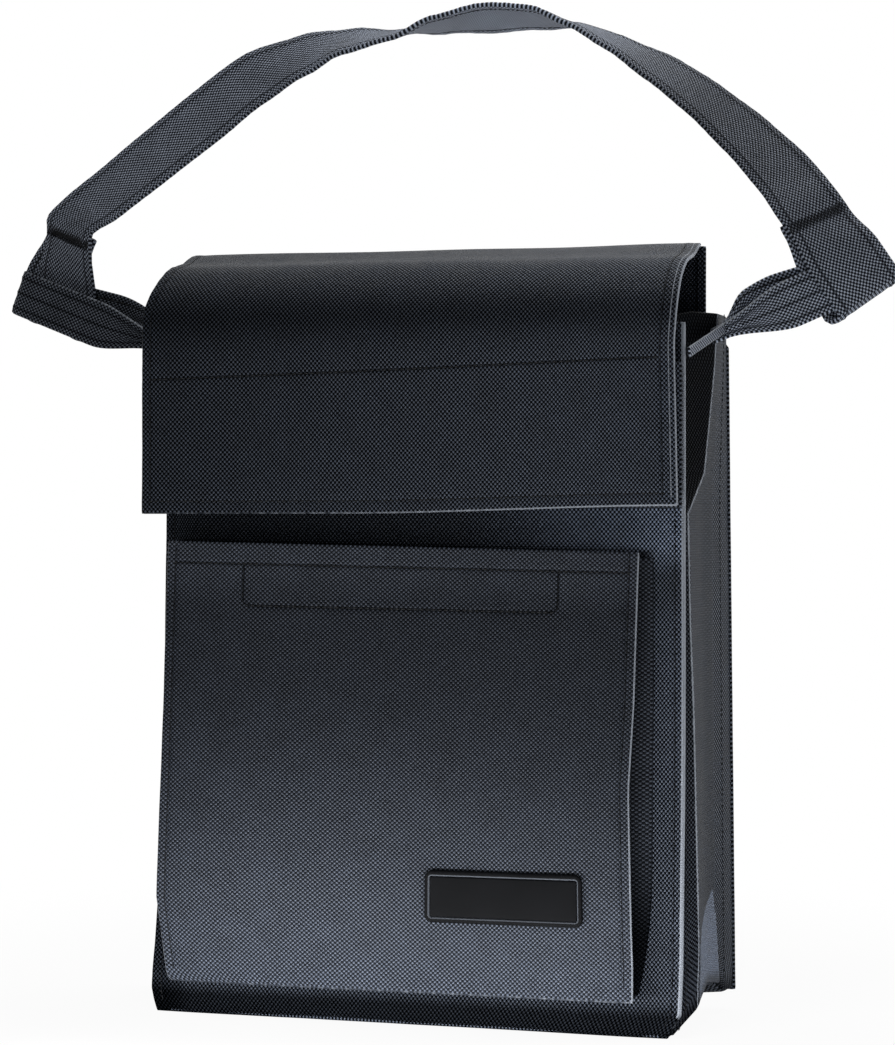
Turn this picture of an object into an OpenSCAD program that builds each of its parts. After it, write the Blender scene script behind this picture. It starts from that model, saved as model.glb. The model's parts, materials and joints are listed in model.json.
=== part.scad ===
// Fire-resistant battery bag: a flat, stiff cloth bag with a lined main compartment,
// a lift-up flap, a pleated front pocket and a carrying strap on two side loops.
// Millimetres. +Z is up and the front faces -Y.
// The origin is the middle of the base, on the surface that the bag stands on.

/* [Body] */
// Width of the front panel and of the flap
body_w = 240; // [200:1:300]
// Depth of the open bag, front face to back face
body_d = 60; // [50:1:90]
// Height of the front panel
front_h = 304; // [280:1:340]
// Rise of the ridge, where the back turns over into the flap, above the front panel
ridge_rise = 38; // [32:1:60]
// How far the back panel stands out past the front panel on each side
back_flare = 10; // [6:1:16]
// How far the base rises at its back edge
back_lift = 7; // [3:0.5:12]
// Length at the back of the base over which it rises
heel_run = 10; // [6:0.5:12]
// Height of the slanted shoulders where the back narrows to the flap's width
shoulder_h = 14; // [8:1:24]
// Width of the slanted cut at the front panel's lower corners
corner_cut = 12; // [6:1:20]

/* [Cloth] */
// Thickness of the outer cloth
cloth_t = 1.6; // [1.2:0.1:2.4]
// Thickness of the fire-resistant lining
lining_t = 1.0; // [0.6:0.1:1.6]
// Thickness of a hook or loop strip
strip_t = 1.4; // [1:0.1:2]
// Free space between two cloths that move past each other
play = 0.3; // [0.2:0.05:0.6]
// Depth of the hem along the mouth of the front panel
mouth_hem = 18; // [10:1:30]

/* [Side gussets] */
// Distance from the front face to the outward crease
crease_in = 8; // [5:0.5:12]
// How far the crease stands out past the front panel
crease_out = 2; // [1:0.5:5]
// Distance from the back face to the shallow rear valley
valley_in = 17; // [12:0.5:22]
// Depth of the rear valley below the back panel's edge
valley_deep = 6; // [4:0.5:9]
// Height at which the crease starts to run back to the belt loop
fold_z = 222; // [180:1:250]
// Height over which the crease crosses the gusset
fold_run = 18; // [10:1:30]
// How far the upper fold tucks in behind the front edge at the mouth
mouth_tuck = 8; // [3:0.5:14]
// How far the crease and the valley spread outwards at the base
foot_spread = 2; // [0.5:0.5:4]
// Height of the triangular tuck above the base
tuck_h = 52; // [30:1:80]

/* [Flap] */
// Height from the ridge down to the flap's lower edge
flap_drop = 119; // [100:1:150]
// Forward slope of the flap's roof
roof_slope = 11; // [6:1:25]
// Radius of the bend from roof to front skirt
bend_r = 32; // [20:1:40]
// Height of the facing behind the flap's skirt
facing_h = 62; // [50:1:80]
// Distance of the facing's edges from the flap's edges
facing_in = 2; // [1:0.5:4]
// Width of the flap's hook strip
flap_strip_w = 200; // [120:1:220]
// Height of the flap's hook strip
flap_strip_h = 25; // [15:1:30]
// How much larger the front panel's loop strip is, above and below
strip_spare = 5; // [2:0.5:6]
// Distance from the flap's lower edge up to its hook strip
flap_strip_up = 16; // [8:1:20]

/* [Pocket] */
// Distance between the front panel's side edge and the pocket's, for a pocket in the middle
pocket_margin = 14; // [11:0.5:30]
// Place of the pocket's middle, left of the bag's middle where negative
pocket_x = -3; // [-6:0.5:2]
// Height of the pocket panel
pocket_h = 192; // [160:1:200]
// Height of the pocket's lower edge above the ground
pocket_z = 17; // [10:1:20]
// Free depth between the pocket panel and the front panel
pocket_d = 12; // [8:0.5:20]
// Distance that the pleat folds in behind the pocket's edge
pleat_in = 6; // [3:0.5:10]
// Distance from the pocket's edge out to the pleat's seam
pleat_out = 4; // [2:0.5:6]
// Thickness of the single cloth of pleats and base fold
pleat_t = 1.0; // [0.6:0.1:1.4]
// Width of the pocket's hook strip
pocket_strip_w = 138; // [80:1:160]
// Height of the pocket's hook strip
pocket_strip_h = 20; // [12:1:26]
// Distance from the pocket's mouth down to its hook strip
pocket_strip_down = 6; // [4:0.5:12]

/* [Label patch] */
// Width of the rubber patch
label_w = 73; // [50:1:90]
// Height of the rubber patch
label_h = 22; // [16:1:30]
// Thickness of the rubber patch
label_t = 2.2; // [1.6:0.1:3]
// Width of its raised rim
label_rim = 1.8; // [1:0.1:3]
// Depth of the field inside the rim
label_sink = 0.8; // [0.4:0.1:1.2]
// Radius of the patch's corners
label_r = 3; // [2:0.5:5]
// Distance of the patch's middle to the right of the pocket's middle
label_x = 49; // [30:1:54]
// Height of the patch's middle above the pocket's lower edge
label_up = 41; // [20:1:80]

/* [Belt loops] */
// Width of the loop's band
loop_band = 20; // [14:1:25]
// Thickness of the loop's band
loop_t = 1.8; // [1.2:0.1:2.4]
// Length of the loop from its gathered root to its end
loop_len = 82; // [74:1:100]
// Space between the loop's front and back bands
loop_gap = 9; // [8:0.5:16]
// Length over which the two bands spread from the root
loop_spread = 20; // [14:1:24]
// Radius of the gathered neck
neck_r = 4.5; // [3:0.25:6]
// Length of the gathered neck
neck_len = 7; // [6:0.5:12]
// Distance of the neck's axis from the back face
neck_in = 16; // [12:0.5:20]
// Distance of the neck's axis below the top of the front panel
neck_down = 4; // [4:0.5:12]
// Rise of the right loop, pulled up by the strap
right_rise = 24; // [10:1:30]
// Rise of the left loop
left_rise = 21; // [5:1:25]
// Turn of the right loop towards the back
right_turn = 13; // [0:1:25]
// Turn of the left loop towards the back
left_turn = 11; // [0:1:25]

/* [Strap] */
// Width of the strap
strap_w = 32; // [24:1:36]
// Thickness of the strap
strap_t = 2.2; // [1.6:0.1:3]
// Height of the strap's crown above its sewn ends
strap_rise = 95; // [80:1:160]
// How far the crown leans back
strap_lean = 20; // [12:1:40]
// Free height in the strap's end loop above the belt loop's band
strap_slack = 15; // [8:1:24]
// Length of the sewn stem above the end loop
stem_h = 10; // [6:1:16]
// Height of the bartack
tack_h = 3; // [2:0.5:5]
// Distance of the bartack's ends from the strap's edges
tack_in = 2; // [1:0.5:4]
// Thickness of the bartack's thread
tack_t = 0.8; // [0.5:0.1:1.2]

/* [Hidden] */
$fn = 64;
// The gussets' seams lie this far inside the panels' edges
seam_in = 1;
// Space left between two cloths that are sewn together along a bent face
sewn = 0.05;
half_w = body_w / 2;
half_d = body_d / 2;
back_half = half_w + back_flare;
ridge_z = front_h + ridge_rise;
hinge_y = half_d - cloth_t / 2;
// The back panel stops this far below the flap's rolled edge, clear of the turning roof
ridge_gap = 0.7;
front_in = -half_d + cloth_t;
back_in = half_d - cloth_t;
seam_front = front_in + play;
heel_y = half_d - heel_run;
corner_cut_h = 0.8 * corner_cut;

// The flap closes on the front panel with its facing and both strips between
stand_off = lining_t + 2 * strip_t + play;
skirt_y = -half_d - stand_off - cloth_t / 2;
flap_z = ridge_z - flap_drop;
roof_reach = hinge_y - skirt_y;
bend_tangent = bend_r * tan((90 - roof_slope) / 2);
roof_len = roof_reach / cos(roof_slope) - bend_tangent;
bend_z = ridge_z - roof_reach * tan(roof_slope) - bend_tangent;
flap_strip_z = flap_z + flap_strip_up;
// The straight stretches run this far into the bend, so that the cloth is one piece
bend_lap = 0.1;

pocket_w = body_w - 2 * pocket_margin;
pocket_in = -half_d - pocket_d;
pocket_top = pocket_z + pocket_h;
pocket_strip_z = pocket_top - pocket_strip_down - pocket_strip_h;
pocket_axis = [pocket_in - cloth_t / 2, pocket_z + cloth_t / 2];

// Gusset columns from front to back: seam, groove, crease, valley, back seam.
// Each row gives a height and the five [x, y] places of the right gusset's outer face.
crease_y = -half_d + crease_in;
valley_y = half_d - valley_in;
groove_y = (seam_front + crease_y) / 2;
neck_y = half_d - neck_in;
neck_z = front_h - neck_down;
neck_x = back_half - 2 * seam_in;
edge_x = half_w - seam_in;
back_x = back_half - seam_in / 2;
valley_x = back_half - valley_deep;
crease_x = half_w + crease_out;
lining_half = edge_x - cloth_t - lining_t - 2 * seam_in;
crease_foot = crease_x + foot_spread;
valley_foot = valley_x + foot_spread;
foot_x = (edge_x - corner_cut + crease_foot) / 2;
upper_y = neck_y - neck_in;
foot_row = [0, [[edge_x - corner_cut, seam_front], [foot_x, groove_y],
    [crease_foot, crease_y], [valley_foot, valley_y], [back_x, back_in]]];
corner_row = [corner_cut_h, [[edge_x, seam_front], [edge_x, groove_y],
    [crease_foot, crease_y], [valley_foot, valley_y], [back_x, back_in]]];
tuck_row = [tuck_h, [[edge_x, seam_front], [edge_x - seam_in / 2, groove_y],
    [crease_x, crease_y], [valley_x, valley_y], [back_x, back_in]]];
fold_row = [fold_z, [[edge_x, seam_front], [edge_x - seam_in, groove_y],
    [crease_x, crease_y], [valley_x, valley_y], [back_x, back_in]]];
cross_row = [fold_z + fold_run, [[edge_x, seam_front],
    [edge_x - mouth_tuck / 2, crease_y + crease_in / 2],
    [(crease_x + neck_x) / 2, upper_y], [valley_x, valley_y], [back_x, back_in]]];
mouth_row = [front_h - 1, [[edge_x, seam_front], [edge_x - mouth_tuck, crease_y + crease_in],
    [neck_x, neck_y], [neck_x - seam_in / 2, (neck_y + back_in) / 2], [back_x, back_in]]];
function row_between(a, b, z) =
    let (s = (z - a[0]) / (b[0] - a[0]))
    [z, [for (c = [0 : len(a[1]) - 1]) a[1][c] * (1 - s) + b[1][c] * s]];
// The lining covers the rows between the base's lining and the mouth's hem
gusset_rows = [
    foot_row, row_between(foot_row, corner_row, cloth_t + lining_t), corner_row, tuck_row,
    fold_row, cross_row, row_between(cross_row, mouth_row, front_h - mouth_hem), mouth_row
];

// Belt loops and the strap's ends share one local frame per side:
// x runs out along the band, y across the two bands, z up the band's width.
root_x = neck_x + play + neck_len;
loop_r = loop_gap / 2 + loop_t;
loop_turn_x = loop_len - loop_r;
band_y = -(loop_gap + loop_t) / 2;
strap_x = loop_turn_x - loop_t / 2 - strap_w;
hole_w = loop_t + 2 * play;
hole_low = -loop_band / 2 - play;
hole_high = loop_band / 2 + strap_slack;
stem_top = hole_high + hole_w / 2 + strap_t + stem_h;
tack_z = stem_top - stem_h / 2;

// The strap's way from its left to its right end: share of the span, share of the
// crown's height, and the band's tilt in degrees away from lying level.
strap_way = [
    [0.032, 0.19, 61], [0.098, 0.38, 64], [0.165, 0.57, 66], [0.230, 0.75, 63],
    [0.298, 0.86, 47], [0.359, 0.92, 30], [0.428, 0.94, 17], [0.489, 0.98, -1],
    [0.558, 1.00, -11], [0.619, 0.99, -6], [0.675, 0.94, 10], [0.734, 0.83, 19],
    [0.794, 0.69, 30], [0.850, 0.53, 36], [0.906, 0.34, 44], [0.954, 0.15, 52]
];
strap_steps = 3;

cloth_black = "#23262b";
lining_silver = "#b9bcc0";
strip_black = "#15161a";
rubber_black = "#1b1c20";

// Draws a profile given in depth and height, and runs it across the bag's width
module across(width) {
    translate([-width / 2, 0, 0])
        rotate([90, 0, 90])
            linear_extrude(width) children();
}

// Stands an outline given in width and height upright, from depth y backwards
module upright(y, thickness) {
    translate([0, y + thickness, 0])
        rotate([90, 0, 0])
            linear_extrude(thickness) children();
}

// A rectangle whose middle is at x = 0 and whose lower edge is at height z
module strip_2d(width, height, z) {
    translate([-width / 2, z]) square([width, height]);
}

// A rectangle with round corners, about its middle
module round_box_2d(width, height, r) {
    square([width, height - 2 * r], center = true);
    square([width - 2 * r, height], center = true);
    for (x = [-1, 1], y = [-1, 1])
        translate([x * (width / 2 - r), y * (height / 2 - r)]) circle(r);
}

// Heights of the base's underside: level to the heel, then rising to the back edge
function base_low(y) = y <= heel_y ? 0 : back_lift * (y - heel_y) / (back_in - heel_y);

function two_faces(a, b, c, d) = [[a, b, c], [a, c, d]];

// Closed sheet between two insets from the gusset's outer face, over some of its rows
module gusset_sheet(side, outer, inner, first, last) {
    cols = len(gusset_rows[0][1]);
    m = cols - 1;
    function place(r, c, inset) =
        let (z = gusset_rows[r][0], p = gusset_rows[r][1][c])
        [side * (p[0] - inset), p[1], z + base_low(p[1]) * max(0, 1 - z / tuck_h)];
    function id(layer, r, c) = (layer * (last - first + 1) + r - first) * cols + c;
    points = [for (inset = [outer, inner], r = [first : last], c = [0 : m]) place(r, c, inset)];
    quads = concat(
        [for (r = [first : last - 1], c = [0 : m - 1])
            two_faces(id(0, r, c), id(0, r + 1, c), id(0, r + 1, c + 1), id(0, r, c + 1))],
        [for (r = [first : last - 1], c = [0 : m - 1])
            two_faces(id(1, r, c), id(1, r, c + 1), id(1, r + 1, c + 1), id(1, r + 1, c))],
        [for (c = [0 : m - 1])
            two_faces(id(0, first, c), id(0, first, c + 1), id(1, first, c + 1), id(1, first, c))],
        [for (c = [0 : m - 1])
            two_faces(id(0, last, c), id(1, last, c), id(1, last, c + 1), id(0, last, c + 1))],
        [for (r = [first : last - 1])
            two_faces(id(0, r, 0), id(1, r, 0), id(1, r + 1, 0), id(0, r + 1, 0))],
        [for (r = [first : last - 1])
            two_faces(id(0, r, m), id(0, r + 1, m), id(1, r + 1, m), id(1, r, m))]
    );
    faces = [for (q = quads) each q];
    polyhedron(points, side > 0 ? faces : [for (f = faces) [f[2], f[1], f[0]]]);
}

// Base outline seen from above, with its front corners cut as the front panel's are,
// kept inside the gussets by a margin
module base_outline(margin) {
    inset = cloth_t + margin;
    half = [
        [edge_x - corner_cut - inset, seam_front], [crease_foot - inset, crease_y],
        [valley_foot - inset, valley_y], [back_x - inset, back_in]
    ];
    linear_extrude(back_lift + cloth_t + lining_t)
        polygon(concat(half, [for (i = [3 : -1 : 0]) [-half[i][0], half[i][1]]]));
}

// Layer of the base between two heights above its underside
module base_layer(low, high, front_trim, margin) {
    intersection() {
        across(2 * back_half)
            polygon([
                [seam_front + front_trim, low], [heel_y, low], [back_in, back_lift + low],
                [back_in, back_lift + high], [heel_y, high], [seam_front + front_trim, high]
            ]);
        base_outline(margin);
    }
}

module back_panel() {
    shoulder = front_h - shoulder_h / 2;
    top = ridge_z - cloth_t / 2 - ridge_gap;
    color(cloth_black)
        upright(back_in, cloth_t)
            polygon([
                [-back_half, back_lift], [back_half, back_lift], [back_half, shoulder],
                [half_w, shoulder + shoulder_h], [half_w, top], [-half_w, top],
                [-half_w, shoulder + shoulder_h], [-back_half, shoulder]
            ]);
}

module back_lining() {
    low = back_lift + cloth_t + lining_t + play;
    color(lining_silver)
        upright(back_in - lining_t, lining_t)
            strip_2d(2 * lining_half, front_h - low, low);
}

module base_panel() {
    color(cloth_black) base_layer(0, cloth_t, 0, play);
}

module base_lining() {
    color(lining_silver) base_layer(cloth_t, cloth_t + lining_t, lining_t, lining_t + 2 * play);
}

module gusset(side) {
    color(cloth_black) gusset_sheet(side, 0, cloth_t, 0, len(gusset_rows) - 1);
}

module gusset_lining(side) {
    color(lining_silver)
        gusset_sheet(side, cloth_t + sewn, cloth_t + sewn + lining_t, 1, len(gusset_rows) - 2);
}

module left_gusset() { gusset(-1); }

module right_gusset() { gusset(1); }

module left_gusset_lining() { gusset_lining(-1); }

module right_gusset_lining() { gusset_lining(1); }

module front_panel() {
    color(cloth_black)
        upright(-half_d, cloth_t)
            polygon([
                [-half_w + corner_cut, 0], [half_w - corner_cut, 0], [half_w, corner_cut_h],
                [half_w, front_h], [-half_w, front_h], [-half_w, corner_cut_h]
            ]);
}

// The lining stops short of the gussets' linings, also at the cut lower corners
module front_lining() {
    low = cloth_t + lining_t + 3 * play;
    foot = lining_half - corner_cut;
    top = front_h - mouth_hem;
    color(lining_silver)
        upright(front_in, lining_t)
            polygon([
                [-foot, low], [foot, low], [lining_half, low + corner_cut_h],
                [lining_half, top], [-lining_half, top], [-lining_half, low + corner_cut_h]
            ]);
}

module front_mouth_hem() {
    color(cloth_black)
        upright(front_in, lining_t)
            strip_2d(2 * lining_half, mouth_hem, front_h - mouth_hem);
}

// The loop strip is larger than the hook strip that closes on it
module front_loop_strip() {
    color(strip_black)
        upright(-half_d - strip_t, strip_t)
            strip_2d(flap_strip_w + strip_spare, flap_strip_h + 2 * strip_spare, flap_strip_z - strip_spare);
}

module pocket_loop_strip() {
    color(strip_black)
        translate([pocket_x, 0, 0])
            upright(-half_d - strip_t, strip_t)
                strip_2d(pocket_strip_w, pocket_strip_h, pocket_strip_z);
}

// Floor of the pocket, from the front panel out to the pocket panel's rolled lower edge
module pocket_base_fold() {
    front = pocket_in + play;
    color(cloth_black)
        translate([pocket_x - pocket_w / 2, front, pocket_z])
            cube([pocket_w, -half_d - front, pleat_t]);
}

// Inward-folded strip that joins the pocket panel's side edge to the front panel
module pleat(side) {
    edge = pocket_w / 2;
    front = pocket_in + play;
    middle = (front - half_d) / 2;
    low = pocket_z + pleat_t;
    color(cloth_black)
        translate([pocket_x, 0, low])
            linear_extrude(pocket_top - pocket_strip_down - low)
                polygon([
                    [side * (edge - pleat_t), front], [side * edge, front],
                    [side * (edge - pleat_in + pleat_t), middle],
                    [side * (edge + pleat_out), -half_d],
                    [side * (edge + pleat_out - 2 * pleat_t), -half_d],
                    [side * (edge - pleat_in - pleat_t), middle]
                ]);
}

module pocket_left_pleat() { pleat(-1); }

module pocket_right_pleat() { pleat(1); }

// The panel's lower edge is rolled about the line on which the pocket opens
module pocket_panel() {
    color(cloth_black)
        translate([pocket_x, 0, 0]) {
            upright(pocket_in - cloth_t, cloth_t)
                strip_2d(pocket_w, pocket_h - cloth_t / 2, pocket_axis[1]);
            across(pocket_w)
                translate(pocket_axis) circle(cloth_t / 2);
        }
}

module pocket_hook_strip() {
    color(strip_black)
        translate([pocket_x, 0, 0])
            upright(pocket_in, strip_t)
                strip_2d(pocket_strip_w, pocket_strip_h, pocket_strip_z);
}

module label_patch() {
    face = pocket_in - cloth_t;
    color(rubber_black)
        translate([pocket_x + label_x, 0, pocket_z + label_up])
            difference() {
                upright(face - label_t, label_t)
                    round_box_2d(label_w, label_h, label_r);
                upright(face - 2 * label_t, label_t + label_sink)
                    round_box_2d(label_w - 2 * label_rim, label_h - 2 * label_rim, label_r / 2);
            }
}

// Flap in one cloth: rolled edge at the ridge, sloping roof, round bend and hanging skirt
module flap_profile() {
    translate([hinge_y, ridge_z]) {
        circle(cloth_t / 2);
        rotate(180 + roof_slope)
            translate([0, -cloth_t / 2]) square([roof_len + bend_lap, cloth_t]);
    }
    translate([skirt_y + bend_r, bend_z])
        intersection() {
            difference() {
                circle(bend_r + cloth_t / 2, $fn = 128);
                circle(bend_r - cloth_t / 2, $fn = 128);
            }
            polygon([
                [0, 0], [-2 * bend_r, 0], [-2 * bend_r, 2 * bend_r],
                2 * bend_r * [-sin(roof_slope), cos(roof_slope)]
            ]);
        }
    translate([skirt_y - cloth_t / 2, flap_z]) square([cloth_t, bend_z - flap_z + bend_lap]);
}

module flap_outer() {
    color(cloth_black) across(body_w) flap_profile();
}

module flap_facing() {
    color(cloth_black)
        upright(skirt_y + cloth_t / 2, lining_t)
            strip_2d(body_w - 2 * facing_in, facing_h, flap_z + facing_in);
}

module flap_hook_strip() {
    color(strip_black)
        upright(skirt_y + cloth_t / 2 + lining_t, strip_t)
            strip_2d(flap_strip_w, flap_strip_h, flap_strip_z);
}

// Places a piece in the local frame of one side's belt loop
module loop_frame(side) {
    translate([side * root_x, neck_y, neck_z])
        rotate([0, 0, side > 0 ? right_turn : 180 - left_turn])
            rotate([0, side > 0 ? -right_rise : -left_rise, 0])
                children();
}

module loop_ring_2d() {
    difference() {
        union() {
            translate([loop_turn_x, 0]) circle(loop_r);
            polygon([
                [0, -loop_t], [loop_spread, -loop_r], [loop_turn_x, -loop_r],
                [loop_turn_x, loop_r], [loop_spread, loop_r], [0, loop_t]
            ]);
        }
        translate([loop_turn_x, 0]) circle(loop_gap / 2);
        polygon([
            [2 * loop_t, 0], [loop_spread, -loop_gap / 2], [loop_turn_x, -loop_gap / 2],
            [loop_turn_x, loop_gap / 2], [loop_spread, loop_gap / 2]
        ]);
    }
}

// Flat band folded into a loop and gathered at its root into a round neck
module belt_loop(side) {
    color(cloth_black) {
        loop_frame(side)
            intersection() {
                translate([0, 0, -loop_band / 2])
                    linear_extrude(loop_band) loop_ring_2d();
                upright(-loop_len / 2, loop_len)
                    polygon([
                        [0, -neck_r], [loop_spread, -loop_band / 2],
                        [loop_len, -loop_band / 2], [loop_len, loop_band / 2],
                        [loop_spread, loop_band / 2], [0, neck_r]
                    ]);
            }
        translate([side * (neck_x + play), neck_y, neck_z])
            rotate([0, side * 90, 0])
                cylinder(r = neck_r, h = neck_len + loop_t);
    }
}

module left_belt_loop() { belt_loop(-1); }

module right_belt_loop() { belt_loop(1); }

// Long hole round the belt loop's band, as depth and height in the local frame
module long_hole_2d(width, low, high) {
    translate([-width / 2, low]) square([width, high - low]);
    for (z = [low, high]) translate([0, z]) circle(width / 2);
}

// End of the strap: passed round one band of the belt loop and sewn back on itself
module strap_end(side) {
    color(cloth_black)
        loop_frame(side)
            translate([strap_x, band_y, 0])
                rotate([90, 0, 90])
                    linear_extrude(strap_w)
                        difference() {
                            union() {
                                long_hole_2d(hole_w + 2 * strap_t, hole_low, hole_high);
                                translate([-strap_t, hole_high]) square([2 * strap_t, stem_top - hole_high]);
                            }
                            long_hole_2d(hole_w, hole_low, hole_high);
                        }
}

module left_strap_end() { strap_end(-1); }

module right_strap_end() { strap_end(1); }

// Row of close stitches across the stem, on both of its faces
module bartack(side) {
    color(strip_black)
        loop_frame(side)
            for (face = [band_y - strap_t - tack_t, band_y + strap_t])
                translate([strap_x + tack_in, face, tack_z - tack_h / 2])
                    cube([strap_w - 2 * tack_in, tack_t, tack_h]);
}

module left_bartack() { bartack(-1); }

module right_bartack() { bartack(1); }

function unit(v) = v / norm(v);

// A direction in a belt loop's local frame, turned into the bag's frame, and then a place
function loop_dir(side, v) =
    let (rise = side > 0 ? right_rise : left_rise)
    let (turn = side > 0 ? right_turn : 180 - left_turn)
    let (x = v[0] * cos(rise) - v[2] * sin(rise))
    [x * cos(turn) - v[1] * sin(turn), x * sin(turn) + v[1] * cos(turn),
     v[0] * sin(rise) + v[2] * cos(rise)];
function loop_place(side, p) = [side * root_x, neck_y, neck_z] + loop_dir(side, p);

stem_mid = [strap_x + strap_w / 2, band_y, stem_top + sewn];
left_end = loop_place(-1, stem_mid);
right_end = loop_place(1, stem_mid);

// The band's middle line and width directions, from the left stem to the right one
way_points = concat(
    [left_end],
    [for (w = strap_way) left_end + (right_end - left_end) * w[0]
        + [0, strap_lean, strap_rise] * w[1]],
    [right_end]
);
way_last = len(way_points) - 1;
function way_run(i) =
    i == 0 ? loop_dir(-1, [0, 0, 1])
    : i == way_last ? loop_dir(1, [0, 0, -1])
    : unit(way_points[i + 1] - way_points[i - 1]);
function way_wide(i) =
    i == 0 ? loop_dir(-1, [1, 0, 0])
    : i == way_last ? loop_dir(1, [1, 0, 0])
    : let (t = way_run(i))
      let (level = unit([0, 1, 0] - t * t[1]))
      let (out = cross(t, level))
      let (tilt = strap_way[i - 1][2])
      level * cos(tilt) + out * sin(tilt);

// Smooth curve through the points, with each point's own direction
function way_curve(i, s) =
    let (a = way_points[i], b = way_points[i + 1])
    let (span = norm(b - a))
    let (ta = way_run(i) * span, tb = way_run(i + 1) * span)
    (2 * s * s * s - 3 * s * s + 1) * a + (s * s * s - 2 * s * s + s) * ta
    + (3 * s * s - 2 * s * s * s) * b + (s * s * s - s * s) * tb;

module strap_band() {
    centres = concat(
        [for (i = [0 : way_last - 1], k = [0 : strap_steps - 1]) way_curve(i, k / strap_steps)],
        [right_end]
    );
    wides = concat(
        [for (i = [0 : way_last - 1], k = [0 : strap_steps - 1])
            let (s = k / strap_steps)
            unit(way_wide(i) * (1 - s) + way_wide(i + 1) * s)],
        [way_wide(way_last)]
    );
    last = len(centres) - 1;
    runs = [for (i = [0 : last])
        i == 0 ? way_run(0)
        : i == last ? way_run(way_last)
        : unit(centres[i + 1] - centres[i - 1])];
    points = [for (i = [0 : last])
        let (w = unit(wides[i] - runs[i] * (wides[i] * runs[i])))
        let (n = cross(runs[i], w))
        for (c = [[-1, -1], [1, -1], [1, 1], [-1, 1]])
            centres[i] + w * c[0] * strap_w / 2 + n * c[1] * strap_t / 2];
    sides = [for (i = [0 : last - 1], c = [0 : 3], k = [0, 1])
        let (a = 4 * i + c, b = 4 * i + (c + 1) % 4)
        k == 0 ? [a, a + 4, b + 4] : [a, b + 4, b]];
    caps = [[0, 1, 2], [0, 2, 3], [4 * last, 4 * last + 2, 4 * last + 1],
        [4 * last, 4 * last + 3, 4 * last + 2]];
    color(cloth_black) polyhedron(points, concat(sides, caps));
}

back_panel();
back_lining();
base_panel();
base_lining();
left_gusset();
right_gusset();
left_gusset_lining();
right_gusset_lining();
front_panel();
front_lining();
front_mouth_hem();
front_loop_strip();
pocket_loop_strip();
pocket_base_fold();
pocket_left_pleat();
pocket_right_pleat();
pocket_panel();
pocket_hook_strip();
label_patch();
flap_outer();
flap_facing();
flap_hook_strip();
left_belt_loop();
right_belt_loop();
left_strap_end();
right_strap_end();
left_bartack();
right_bartack();
strap_band();
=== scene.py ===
"""Looks of a fire-resistant battery bag: stiff coated cloth, sewn edges, a rubber patch and a silver lining.

Lengths are millimetres up to the making of a mesh, which turns them into the frame's metres.
"""
import json
import math

import bpy
import numpy as np
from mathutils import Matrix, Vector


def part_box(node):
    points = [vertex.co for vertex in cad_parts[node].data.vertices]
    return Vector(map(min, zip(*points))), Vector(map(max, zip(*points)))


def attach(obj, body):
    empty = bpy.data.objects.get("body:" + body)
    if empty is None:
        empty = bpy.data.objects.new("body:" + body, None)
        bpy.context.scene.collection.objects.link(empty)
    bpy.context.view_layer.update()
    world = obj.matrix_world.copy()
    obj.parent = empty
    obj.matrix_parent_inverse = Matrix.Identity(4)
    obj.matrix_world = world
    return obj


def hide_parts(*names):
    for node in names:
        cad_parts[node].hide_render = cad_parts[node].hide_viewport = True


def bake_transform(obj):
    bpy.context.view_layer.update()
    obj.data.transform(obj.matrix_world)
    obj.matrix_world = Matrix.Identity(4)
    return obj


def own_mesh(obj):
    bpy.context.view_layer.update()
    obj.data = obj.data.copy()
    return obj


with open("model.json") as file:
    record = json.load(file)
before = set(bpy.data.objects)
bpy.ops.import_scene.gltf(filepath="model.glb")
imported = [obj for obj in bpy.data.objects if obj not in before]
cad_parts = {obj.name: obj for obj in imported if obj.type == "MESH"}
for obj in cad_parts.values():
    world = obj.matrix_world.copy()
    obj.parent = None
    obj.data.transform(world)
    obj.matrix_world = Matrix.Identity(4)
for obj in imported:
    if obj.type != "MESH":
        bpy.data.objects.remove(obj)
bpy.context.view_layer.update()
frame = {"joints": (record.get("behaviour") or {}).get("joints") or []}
MM = 0.001


def box_mm(node_name):
    """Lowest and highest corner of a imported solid, in millimetres."""
    low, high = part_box(node_name)
    return np.array(low) / MM, np.array(high) / MM


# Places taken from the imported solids
FRONT_LOW, FRONT_HIGH = box_mm("front_panel")
BACK_LOW, BACK_HIGH = box_mm("back_panel")
POCKET_LOW, POCKET_HIGH = box_mm("pocket_panel")
FLAP_LOW = box_mm("flap_outer")[0]
FACING_LOW, FACING_HIGH = box_mm("flap_facing")
LABEL_LOW, LABEL_HIGH = box_mm("label_patch")
SEAT_LOW, SEAT_HIGH = box_mm("pocket_right_pleat")
STRIP_LOW, STRIP_HIGH = box_mm("pocket_hook_strip")
HALF_W = FRONT_HIGH[0]
FRONT_H = FRONT_HIGH[2]
CLOTH = FRONT_HIGH[1] - FRONT_LOW[1]
FRONT_MID = (FRONT_LOW[1] + FRONT_HIGH[1]) / 2
BACK_HALF = BACK_HIGH[0]
BACK_MID = (BACK_LOW[1] + BACK_HIGH[1]) / 2
BACK_IN = BACK_LOW[1]
HINGES = {j["name"]: np.array(j.get("pos_m", (0, 0, 0))) / MM for j in frame["joints"]}
RIDGE_Y, RIDGE_Z = HINGES["flap_lift"][1:]
NECK_Y, NECK_Z = HINGES["strap_swing"][1:]

# Right and left, as a sign and a word
SIDES = ((1, "right"), (-1, "left"))
# Cut of the front's lower corners and foot, height of the back's shoulders, and thickness of the lining
CORNER_CUT, CORNER_CUT_H, LEFT_CUT = 6.0, 10.0, 2.0
FOOT_CURL, FOOT_CURL_H, CURL_PAST = 2.0, 12.0, 1.5
SHOULDER_H = 14.0
LINING = 1.0
# The flap: slope of its roof in degrees, and radius of its bend
ROOF_SLOPE, BEND_R = 11.0, 32.0
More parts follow.
